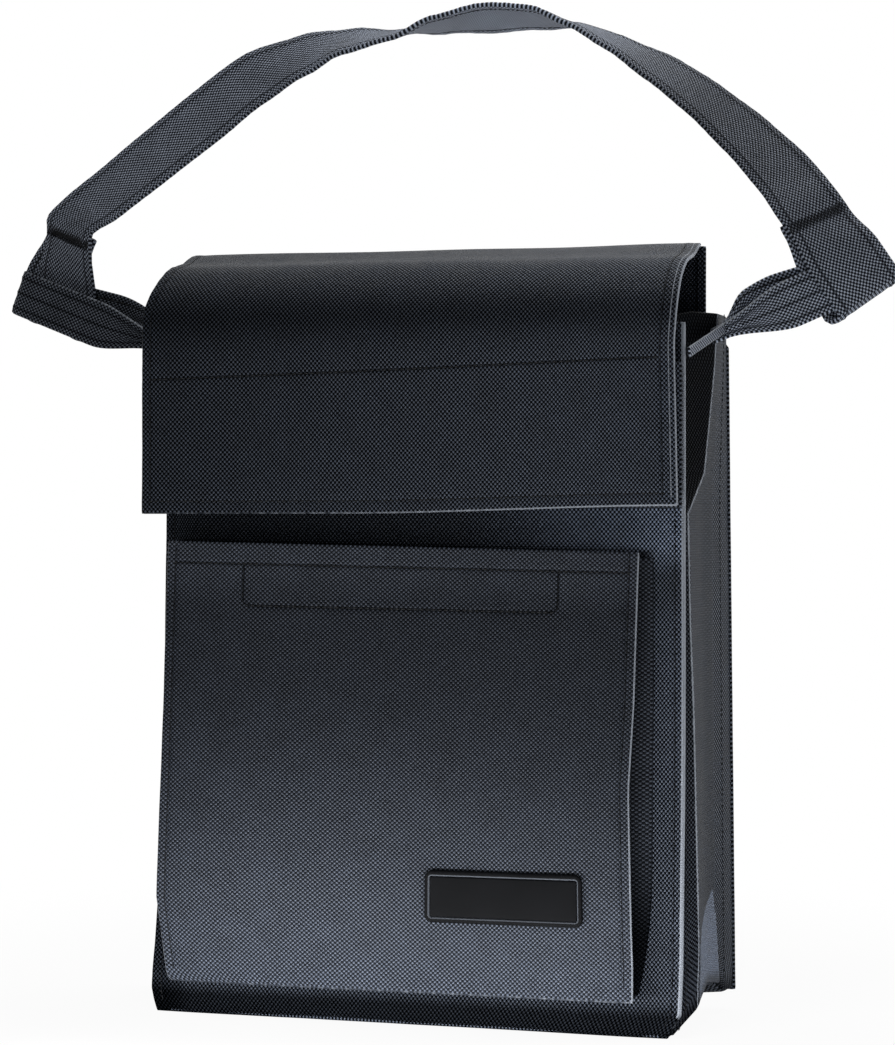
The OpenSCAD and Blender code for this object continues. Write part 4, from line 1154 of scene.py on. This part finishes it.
def belt_loop_place(side):
    """Band of a belt loop: out along one side, round the end and back, gathered at the neck and bunched where
    the strap is sewn round it. Its rear side lies higher at the neck, and the two come level at the end."""
    straight, length = TURN_X[side] + ROOT_BACK, loop_length(side)
    along, at_neck = LIFTED[side]

    def place(u, v):
        u, v = evenly(u, v)
        way = np.minimum(v, length - v)
        out = np.minimum(way, straight) - ROOT_BACK
        near = np.where(v < length / 2, -1.0, 1.0)
        turn = np.clip((v - straight) / LOOP_R, 0, math.pi)
        turning = (turn > 0) & (turn < math.pi)
        x = np.where(turning, TURN_X[side] + LOOP_R * np.sin(turn), out)
        open_y = NECK_GAP + (LOOP_R - NECK_GAP) * ease(out / LOOP_SPREAD)
        y = np.where(turning, -LOOP_R * np.cos(turn), near * open_y)
        gather = 1 - ease((out + GATHER_FROM) / GATHER_RUN)
        y = y + near * GATHER_PUFF * gather * (1 + np.cos(u / LOOP_BAND * GATHER_WAVES * math.pi)) / 2
        raised = BACK_RAISED * low_share(out, TURN_X[side]) * ramp(out, *RAISED_X) * (near == side)
        bunched = BUNCHED[side] * ease((out - BUNCH_FROM[side]) / BUNCH_RUN) * (u < 0) * (near == -1)
        z = u * (1 - GATHER_SHARE * gather) * (1 - bunched) + along + at_neck * gather + raised
        return loop_place(side, np.stack([x, y, z], -1))
    return place


LOOP_SEAMS, LOOP_SEAM_END = (-7.2, 0.0, 7.2), 15.0
# LOOP_SHADE: painted light on the right loop and painted shade on the left one
LOOP_SHADE, LOOP_WEAR_GLINT = {1: 2.0, -1: 0.45}, {1: (0, 0.3), -1: (0.1, 0.3)}
half_band = LOOP_BAND / 2
for side, word in SIDES:
    length = loop_length(side)
    start = 0 if side > 0 else length
    cloth_piece(
        f"{word}_loop_band", belt_loop_place(side), (-half_band, half_band), (0, length), STRAP_CLOTH,
        "strap", [f"{word}_belt_loop"], thick=LOOP_T, step=2.5, uneven=0.0, groove=0.3,
        seams=[[(s, LOOP_SEAM_END), (s, length - LOOP_SEAM_END)] for s in LOOP_SEAMS],
        folds=[((half_band, start), (half_band, length / 2), *LOOP_WEAR_GLINT[side])],
        shade=one_shade(LOOP_SHADE[side]))


# The loops' tails, sewn across the side walls from the neck to the front edge
TAIL_TOP, TAIL_FOOT = (131.0, 10.0, 304.5), (122.0, -29.5, 291.5)
TAIL_W, TAIL_T, TAIL_SHADE = 4.0, 1.0, 1.8
tail_len = math.dist(TAIL_TOP, TAIL_FOOT)


def tail_place(side):
    """A tail's straight strip."""
    top, foot = (settle(np.array([side * x, y, z])) for x, y, z in (TAIL_TOP, TAIL_FOOT))
    run = unit(foot - top)
    up = side * unit(np.array([0, 0, 1]) - run * run[2])

    def place(u, v):
        u, v = evenly(u, v)
        return top + run * v[..., None] + up * u[..., None]
    return place


half_tail = TAIL_W / 2
for side, word in SIDES:
    tail = cloth_piece(
        f"{word}_loop_tail", tail_place(side), (-half_tail, half_tail), (0, tail_len), STRAP_CLOTH, "shell",
        [], thick=TAIL_T, step=2.0, uneven=0.0, shade=one_shade(TAIL_SHADE),
        folds=[((s * half_tail, 0), (s * half_tail, tail_len), 0, 0) for s in (-1, 1)])
    fold_flat(tail)


# The strap's sewn ends: how far aside the front and the rear ply lie at the tack and at the bottom, the
# height of the bottom fold, the slant of that fold, and the turn of the strap at the tack, in degrees
PLY_ASIDE = {1: ((-3.9, 3.2), (-5.5, -2.5)), -1: ((6.8, -10.0), (6.8, 10.0))}
END_LOW = {1: -6.1, -1: -7.5}
END_SLANT = {1: 11.0, -1: 0.0}
END_TURN = {1: 20.0, -1: 16.0}
# Heights between which the plies close up and the strap turns, and the height over which the slant is lost
PLY_CLOSE, TURN_RISE, SLANT_RUN = (16, 33), (12, 30), 35.0
REAR_SEWN, REAR_SHORTER, ASIDE_PAST, FOLD_POINTS = 2.15, 1.5, 0.2, 13


def end_way(side):
    """Middle line and width direction of the strap's sewn end in its belt loop's frame: down the front ply,
    round the band at a slant and up behind."""
    low = END_LOW[side]
    front_aside, rear_aside = PLY_ASIDE[side]
    z_down = np.arange(STEM_TOP, low, -1.0)
    z_up = np.arange(low + 1, STEM_TOP - REAR_SHORTER, 1.0)
    turn = np.linspace(0, math.pi, FOLD_POINTS)

    def aside(pair, z):
        return pair[0] + (pair[1] - pair[0]) * np.clip((TACK_Z - z) / (TACK_Z - low), -ASIDE_PAST, 1)

    def apart(sewn, z):
        return sewn + (PLY_OUT - sewn) * (1 - ramp(z, *PLY_CLOSE))
    front = np.stack([aside(front_aside, z_down), -side * apart(PLY_SEWN, z_down), z_down], -1)
    middle, half = (front_aside[1] + rear_aside[1]) / 2, (front_aside[1] - rear_aside[1]) / 2
    bottom = np.stack([middle + half * np.cos(turn), -side * PLY_OUT * np.cos(turn),
                       low - PLY_OUT * np.sin(turn)], -1)
    back = np.stack([aside(rear_aside, z_up), side * apart(REAR_SEWN, z_up), z_up], -1)
    way = np.concatenate([front, bottom, back]) + np.array([STRAP_X, -LOOP_R, 0.0])
    yaw = math.radians(END_TURN[side]) * ramp(way[:, 2], *TURN_RISE)
    slant = math.radians(END_SLANT[side]) * (1 - ramp(way[:, 2], low, low + SLANT_RUN))
    wide = np.stack([np.cos(yaw) * np.cos(slant), side * np.sin(yaw), np.cos(yaw) * np.sin(slant)], -1)
    return loop_place(side, way), loop_dir(side, wide)


ARCH_STEPS = 12
# Which way the strap runs at its two tacks, in the belt loops' frames
LEFT_RUN, RIGHT_RUN = (-0.436, 0, 0.9), (0.226, 0, -0.974)


def arch(left, left_wide, right, right_wide):
    """Middle line and width direction of the strap between its two sewn ends."""
    first, last = (loop_place(side, (STRAP_X, -LOOP_R, STEM_TOP)) for side in (-1, 1))
    rise = np.array([0, STRAP_LEAN, STRAP_RISE])
    points = [left, *[first + (last - first) * s + rise * h for s, h, _ in STRAP_WAY], right]
    runs = [unit(points[i + 1] - points[i - 1]) for i in range(1, len(points) - 1)]
    runs = [loop_dir(-1, LEFT_RUN), *runs, loop_dir(1, RIGHT_RUN)]
    wides = [left_wide]
    for run, (_, _, tilt) in zip(runs[1:], STRAP_WAY):
        level = unit(np.array([0, 1, 0]) - run * run[1])
        out = np.cross(run, level)
        wides.append(level * math.cos(math.radians(tilt)) + out * math.sin(math.radians(tilt)))
    wides.append(right_wide)
    line, wide = [], []
    for i in range(len(points) - 1):
        a, b = points[i], points[i + 1]
        far = np.linalg.norm(b - a)
        for s in np.linspace(0, 1, ARCH_STEPS, endpoint=False):
            line.append((2 * s ** 3 - 3 * s ** 2 + 1) * a + (s ** 3 - 2 * s ** 2 + s) * runs[i] * far
                        + (3 * s ** 2 - 2 * s ** 3) * b + (s ** 3 - s ** 2) * runs[i + 1] * far)
            turn = ease(np.array(s))
            wide.append(unit(wides[i] * (1 - turn) + wides[i + 1] * turn))
    return np.array(line), np.array(wide)


left_way, left_wide = (m[::-1] for m in end_way(-1))
right_way, right_wide = end_way(1)
arch_line, arch_wide = arch(left_way[-1], left_wide[-1], right_way[0], right_wide[0])
strap_line = np.concatenate([left_way[:-1], arch_line, right_way])
strap_wide = np.concatenate([left_wide[:-1], arch_wide, right_wide])
strap_run = np.concatenate([[0], np.cumsum(np.linalg.norm(np.diff(strap_line, axis=0), axis=1))])
strap_len = float(strap_run[-1])


def strap_place(u, v):
    """The strap along its middle line."""
    u, v = evenly(u, v)
    middle = np.stack([np.interp(v, strap_run, strap_line[:, k]) for k in range(3)], -1)
    wide = unit(np.stack([np.interp(v, strap_run, strap_wide[:, k]) for k in range(3)], -1))
    return middle + wide * u[..., None]


# Painted light and shade on the strap along its arch, lightest at the crown, as shares of the way between its
# tacks
STRAP_LIGHT_SHARE = (-0.1, 0, 0.09, 0.31, 0.45, 0.57, 0.68, 0.76, 0.84, 0.92, 1.0, 1.1)
STRAP_LIGHT = (1.0, 1.1, 1.4, 1.4, 2.0, 2.6, 1.8, 1.0, 0.72, 0.9, 1.2, 1.8)
arch_start = strap_run[len(left_way) - 1]
arch_stop = strap_run[len(left_way) - 1 + len(arch_line)]
STRAP_SEAM_IN, STRAP_SEAM_END, STRAP_WEAR_GLINT = 3.4, 2.0, 0.35
half_strap = STRAP_W / 2
cloth_piece(
    "strap_cloth", strap_place, (-half_strap, half_strap), (0, strap_len), STRAP_CLOTH, "strap",
    ["strap_band", "left_strap_end", "right_strap_end"], thick=STRAP_T, step=3.0, uneven=0.0, groove=0.4,
    seams=upright_lines(half_strap - STRAP_SEAM_IN, STRAP_SEAM_END, strap_len - STRAP_SEAM_END),
    faces=(1, -1),
    shade=lambda u, v: np.interp((v - arch_start) / (arch_stop - arch_start), STRAP_LIGHT_SHARE, STRAP_LIGHT),
    folds=[((s * half_strap, 0), (s * half_strap, strap_len), STRAP_WEAR_GLINT, STRAP_WEAR_GLINT) for s in (-1, 1)])


# Rubber patch

# Rings of the patch from its edge to its field: how far in from the edge, and how far below the rim's top
LABEL_RINGS = (
    (0, 0.5), (0.15, 0.15), (0.5, 0), (1.7, 0), (1.95, 0.1), (2.1, 0.4), (2.15, 1.0), (2.45, 1.0), (2.5, 0.6),
    (2.65, 0.42), (3.0, 0.4), (5.0, 0.4), (8.0, 0.4))
LABEL_SUNK, LABEL_CORNER, LEAST_CORNER, PALE_RING, CORNER_STEPS = 0.2, 3.2, 0.8, 1.95, 10


def label_piece():
    """Moulded patch: a raised rim, a groove and a plain field, lofted from rounded outlines on the pocket."""
    half_w, half_h = (LABEL_HIGH - LABEL_LOW)[[0, 2]] / 2
    thick = LABEL_HIGH[1] - LABEL_LOW[1]
    centre_u = (LABEL_LOW[0] + LABEL_HIGH[0]) / 2 - POCKET_X
    centre_v = (LABEL_LOW[2] + LABEL_HIGH[2]) / 2 - POCKET_LOW[2]
    rings = [(0, -LABEL_SUNK), *((inset, thick - below) for inset, below in LABEL_RINGS)]
    vertices, edge = [], []
    for inset, height in rings:
        r = max(LABEL_CORNER - inset, LEAST_CORNER)
        w, h = half_w - inset - r, half_h - inset - r
        for su, sv, start in ((1, -1, -90), (1, 1, 0), (-1, 1, 90), (-1, -1, 180)):
            for k in range(CORNER_STEPS + 1):
                a = math.radians(start + 90 * k / CORNER_STEPS)
                u = np.array(centre_u + su * w + r * math.cos(a))
                v = np.array(centre_v + sv * h + r * math.sin(a))
                out = normals_of(pocket_place, u, v)
                vertices.append(pocket_place(u, v) + out * (CLOTH / 2 + height))
                edge.append(abs(inset - PALE_RING))
    count = 4 * (CORNER_STEPS + 1)
    faces = []
    for ring in range(0, (len(rings) - 1) * count, count):
        for k in range(count):
            following = (k + 1) % count
            faces.append((ring + k, ring + following, ring + count + following, ring + count + k))
    faces.append(tuple((len(rings) - 1) * count + k for k in range(count)))
    faces.append(tuple(reversed(range(count))))
    mesh = plain_mesh("label_rubber", vertices, faces, edge_mm=edge)
    finish_piece("label_rubber", mesh, RUBBER, "pocket", "label_patch")


label_piece()


# Stitches

def new_tree(name, *sizes):
    """An empty Geometry Nodes tree with named inputs for its sizes and its material."""
    tree = bpy.data.node_groups.new(name, "GeometryNodeTree")
    tree.interface.new_socket("Geometry", in_out="INPUT", socket_type="NodeSocketGeometry")
    for word in sizes:
        tree.interface.new_socket(word, in_out="INPUT", socket_type="NodeSocketFloat")
    tree.interface.new_socket("Material", in_out="INPUT", socket_type="NodeSocketMaterial")
    tree.interface.new_socket("Geometry", in_out="OUTPUT", socket_type="NodeSocketGeometry")
    return tree, node(tree, "NodeGroupInput").outputs


def close_tree(tree, shape, material):
    """Ends a tree: its instances become one mesh with the material."""
    whole = node(tree, "GeometryNodeRealizeInstances", {"Geometry": shape})
    dyed = node(tree, "GeometryNodeSetMaterial", {"Geometry": whole.outputs[0], "Material": material})
    node(tree, "NodeGroupOutput", {"Geometry": dyed.outputs[0]})
    return tree


def stitch_tree():
    """Geometry Nodes that lay one small thread per stitch along sewn lines."""
    tree, given = new_tree("stitches_along_seams", "Stitch", "Gap", "Thread")
    pitch = node(tree, "ShaderNodeMath", {0: given["Stitch"], 1: given["Gap"]}, operation="ADD")
    curve = node(tree, "GeometryNodeMeshToCurve", {"Mesh": given["Geometry"]})
    spaced = node(tree, "GeometryNodeResampleCurve", {
        "Curve": curve.outputs[0], "Length": pitch.outputs[0]}, mode="LENGTH")
    size = node(tree, "ShaderNodeCombineXYZ", {0: given["Stitch"], 1: given["Thread"], 2: given["Thread"]})
    grain = node(tree, "GeometryNodeMeshUVSphere", {"Segments": 6, "Rings": 5, "Radius": 0.5})
    laid = node(tree, "GeometryNodeTransform", {
        "Geometry": grain.outputs[0], "Rotation": (0, math.pi / 2, 0)})
    thread = node(tree, "GeometryNodeTransform", {"Geometry": laid.outputs[0], "Scale": size.outputs[0]})
    tangent = node(tree, "GeometryNodeInputTangent")
    along = node(tree, "FunctionNodeAlignRotationToVector", {"Vector": tangent.outputs[0]}, axis="X")
    out = node(tree, "GeometryNodeInputNamedAttribute", {"Name": "out"}, data_type="FLOAT_VECTOR")
    turned = node(tree, "FunctionNodeAlignRotationToVector", {
        "Rotation": along.outputs[0], "Vector": out.outputs[0]}, axis="Z", pivot_axis="X")
    each = node(tree, "GeometryNodeInstanceOnPoints", {
        "Points": spaced.outputs[0], "Instance": thread.outputs[0], "Rotation": turned.outputs[0]})
    return close_tree(tree, each.outputs[0], given["Material"])


def nodes_piece(name, tree, lines, inputs):
    """Runs a Geometry Nodes tree over polylines and returns its result as a plain mesh object."""
    starts = np.cumsum([0, *[len(p) for p, _ in lines]])
    edges = [(int(s) + k, int(s) + k + 1) for s, (p, _) in zip(starts, lines) for k in range(len(p) - 1)]
    points = np.concatenate([p for p, _ in lines])
    mesh = bpy.data.meshes.new(name + "_lines")
    mesh.from_pydata((points * MM).tolist(), edges, [])
    outs = np.concatenate([n for _, n in lines]).astype(np.float32)
    mesh.attributes.new("out", "FLOAT_VECTOR", "POINT").data.foreach_set("vector", outs.ravel())
    drawn = bpy.data.objects.new(name + "_lines", mesh)
    bpy.context.scene.collection.objects.link(drawn)
    modifier = drawn.modifiers.new("sewn", "NODES")
    modifier.node_group = tree
    for item in tree.interface.items_tree:
        if item.name in inputs:
            modifier[item.identifier] = inputs[item.name]
    shown = drawn.evaluated_get(bpy.context.evaluated_depsgraph_get())
    made = bpy.data.meshes.new_from_object(shown)
    drawn.modifiers.remove(modifier)
    bpy.data.objects.remove(drawn)
    made.name = name
    piece = bpy.data.objects.new(name, made)
    bpy.context.scene.collection.objects.link(piece)
    return piece


sewing = stitch_tree()
stitch_sizes = {
    "Stitch": STITCH * MM, "Gap": STITCH_GAP * MM, "Thread": THREAD * MM, "Material": SEWING_THREAD}
for group, sewn_lines in stitch_lines.items():
    threads = nodes_piece(f"{group}_stitches", sewing, sewn_lines, stitch_sizes)
    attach(threads, "shell" if group == "side" else group)
    if group == "side":
        fold_flat(threads)


# Bartacks

def tube_tree():
    """Geometry Nodes that run a round thread along polylines."""
    tree, given = new_tree("thread_along_line", "Thread")
    curve = node(tree, "GeometryNodeMeshToCurve", {"Mesh": given["Geometry"]})
    half = node(tree, "ShaderNodeMath", {0: given["Thread"], 1: 0.5}, operation="MULTIPLY")
    ring = node(tree, "GeometryNodeCurvePrimitiveCircle", {"Resolution": 6, "Radius": half.outputs[0]})
    tube = node(tree, "GeometryNodeCurveToMesh", {
        "Curve": curve.outputs[0], "Profile Curve": ring.outputs[0], "Fill Caps": True})
    return close_tree(tree, tube.outputs[0], given["Material"])


winding = tube_tree()
# The tack's zigzag: its step, half its height, its thread, and how far it lies above the strap and inside
# the strap's edges
TACK_STEP, TACK_SWING, TACK_THREAD, TACK_UP, TACK_IN = 0.45, 2.3, 0.7, 0.15, 1.0
tack_sizes = {"Thread": TACK_THREAD * MM, "Material": SEWING_THREAD}
for side, word in SIDES:
    rows = []
    yaw = math.radians(END_TURN[side])
    across = np.arange(TACK_IN - half_strap, half_strap - TACK_IN, TACK_STEP)
    swing = np.where(np.arange(len(across)) % 2, TACK_SWING, -TACK_SWING)
    for number, face_y in enumerate((-side * (PLY_SEWN + STRAP_T / 2), side * (REAR_SEWN + STRAP_T / 2))):
        depth = face_y + TACK_UP * np.sign(face_y) - LOOP_R + side * math.sin(yaw) * across
        aside = PLY_ASIDE[side][number][0] + math.cos(yaw) * across
        local = np.stack([STRAP_X + aside, depth, TACK_Z + swing], -1)
        outs = np.repeat(loop_dir(side, (0, np.sign(face_y), 0))[None], len(local), 0)
        rows.append((loop_place(side, local), outs))
    tack = nodes_piece(f"{word}_bartack_thread", winding, rows, tack_sizes)
    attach(tack, "strap")
    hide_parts(f"{word}_bartack")


# Camera, light and floor

AZIMUTH, DISTANCE = math.radians(12.4), 1.116
AIM_RIGHT, AIM_HEIGHT = 0.0083, 0.2186
FOCAL_PX, LONG_PX, SENSOR = 2479.0, 1045.0, 36.0

scene = bpy.context.scene
camera = bpy.data.objects.new("camera", bpy.data.cameras.new("camera"))
camera.data.sensor_width = SENSOR
camera.data.lens = FOCAL_PX * SENSOR / LONG_PX
camera.location = (AIM_RIGHT * math.cos(AZIMUTH) + DISTANCE * math.sin(AZIMUTH),
                   AIM_RIGHT * math.sin(AZIMUTH) - DISTANCE * math.cos(AZIMUTH), AIM_HEIGHT)
camera.rotation_euler = (math.pi / 2, 0, AZIMUTH)
camera.data.clip_start, camera.data.clip_end = 0.05, 50
scene.collection.objects.link(camera)
scene.camera = camera


def soft_box(name, place, target, wide, tall, power):
    """A studio lamp that faces a point."""
    lamp = bpy.data.objects.new(name, bpy.data.lights.new(name, "AREA"))
    lamp.data.shape = "RECTANGLE"
    lamp.data.size, lamp.data.size_y = wide, tall
    lamp.data.energy = power
    lamp.location = place
    away = np.array(place) - np.array(target)
    flat = math.hypot(away[0], away[1])
    lamp.rotation_euler = (math.atan2(flat, away[2]), 0, math.atan2(away[0], -away[1]))
    lamp.visible_camera = False
    scene.collection.objects.link(lamp)


soft_box("top_softbox", place=(0.3, 0.4, 1.6), target=(0, 0, 0.3), wide=0.8, tall=0.8, power=7.5)
soft_box("right_softbox", place=(1.5, 0.3, 0.6), target=(0.1, 0, 0.25), wide=0.7, tall=0.7, power=4.5)
soft_box("front_softbox", place=(-0.5, -0.8, 1.8), target=(0, 0, 0.3), wide=0.6, tall=0.6, power=9)
soft_box("low_strip", place=(0.0, -0.15, 0.015), target=(0, -0.04, 0.045), wide=0.32, tall=0.02, power=0.33)


def seen_rays(tree):
    """The light path's outputs, and whether a ray comes from the camera, also through something clear."""
    rays = node(tree, "ShaderNodeLightPath").outputs
    seen = node(tree, "ShaderNodeMath", {
        0: rays["Is Camera Ray"], 1: rays["Is Transmission Ray"]}, operation="MAXIMUM")
    return rays, seen.outputs[0]


def studio_world():
    """White surroundings behind the bag and round the camera's view, and a dim studio in front of it."""
    world = bpy.data.worlds.new("studio")
    world.use_nodes = True
    tree = world.node_tree
    tree.nodes.clear()
    rays, seen = seen_rays(tree)
    towards = node(tree, "ShaderNodeTexCoord").outputs["Generated"]
    parts = node(tree, "ShaderNodeSeparateXYZ", {0: towards})
    behind = node(tree, "ShaderNodeMapRange", {
        "Value": parts.outputs[1], "From Min": -0.1, "From Max": 0.5, "To Min": 0.08, "To Max": 1.0},
        interpolation_type="SMOOTHSTEP")
    level = node(tree, "ShaderNodeMapRange", {
        "Value": rays["Is Glossy Ray"], "To Min": 0.5, "To Max": 1.0})
    light = node(tree, "ShaderNodeMath", {0: behind.outputs[0], 1: level.outputs[0]}, operation="MULTIPLY")
    strength = node(tree, "ShaderNodeMath", {0: seen, 1: light.outputs[0]}, operation="MAXIMUM")
    back = node(tree, "ShaderNodeBackground", {"Color": (1, 1, 1, 1), "Strength": strength.outputs[0]})
    node(tree, "ShaderNodeOutputWorld", {"Surface": back.outputs[0]})
    scene.world = world


def pale_floor():
    """White floor that keeps the bag's soft shadow and fades into the white behind."""
    made, tree = new_material("white_studio_floor")
    place = node(tree, "ShaderNodeTexCoord").outputs["Object"]
    far = node(tree, "ShaderNodeVectorMath", {0: place}, operation="LENGTH")
    fade = node(tree, "ShaderNodeMapRange", {
        "Value": far.outputs["Value"], "From Min": 0.15, "From Max": 0.45, "To Min": 0.94, "To Max": 1.0},
        interpolation_type="SMOOTHSTEP")
    mirror = node(tree, "ShaderNodeMapRange", {
        "Value": far.outputs["Value"], "From Min": 0.15, "From Max": 0.6, "To Min": 0.0, "To Max": 1.0},
        interpolation_type="SMOOTHSTEP")
    rays, seen = seen_rays(tree)
    shown = node(tree, "ShaderNodeMath", {0: seen, 1: fade.outputs[0]}, operation="MULTIPLY")
    bounce = node(tree, "ShaderNodeMapRange", {"Value": rays["Is Diffuse Ray"], "To Min": 0.0, "To Max": 0.1})
    other = node(tree, "ShaderNodeMath", {
        0: rays["Is Glossy Ray"], 1: bounce.outputs[0]}, operation="MAXIMUM")
    gloss = node(tree, "ShaderNodeMath", {0: other.outputs[0], 1: mirror.outputs[0]}, operation="MULTIPLY")
    share = node(tree, "ShaderNodeMath", {0: shown.outputs[0], 1: gloss.outputs[0]}, operation="MAXIMUM")
    paint = node(tree, "ShaderNodeBsdfDiffuse", {"Color": linear("#e8e8e8")})
    white = node(tree, "ShaderNodeEmission", {"Color": (1, 1, 1, 1), "Strength": 1.0})
    both = node(tree, "ShaderNodeMixShader", {0: share.outputs[0], 1: paint.outputs[0], 2: white.outputs[0]})
    node(tree, "ShaderNodeOutputMaterial", {"Surface": both.outputs[0]})
    half = 4.0
    mesh = bpy.data.meshes.new("floor")
    corners = [(-half, -half, 0), (half, -half, 0), (half, half, 0), (-half, half, 0)]
    mesh.from_pydata(corners, [], [(0, 1, 2, 3)])
    mesh.materials.append(made)
    floor = bpy.data.objects.new("floor", mesh)
    scene.collection.objects.link(floor)


studio_world()
pale_floor()
scene.view_settings.view_transform = "Standard"
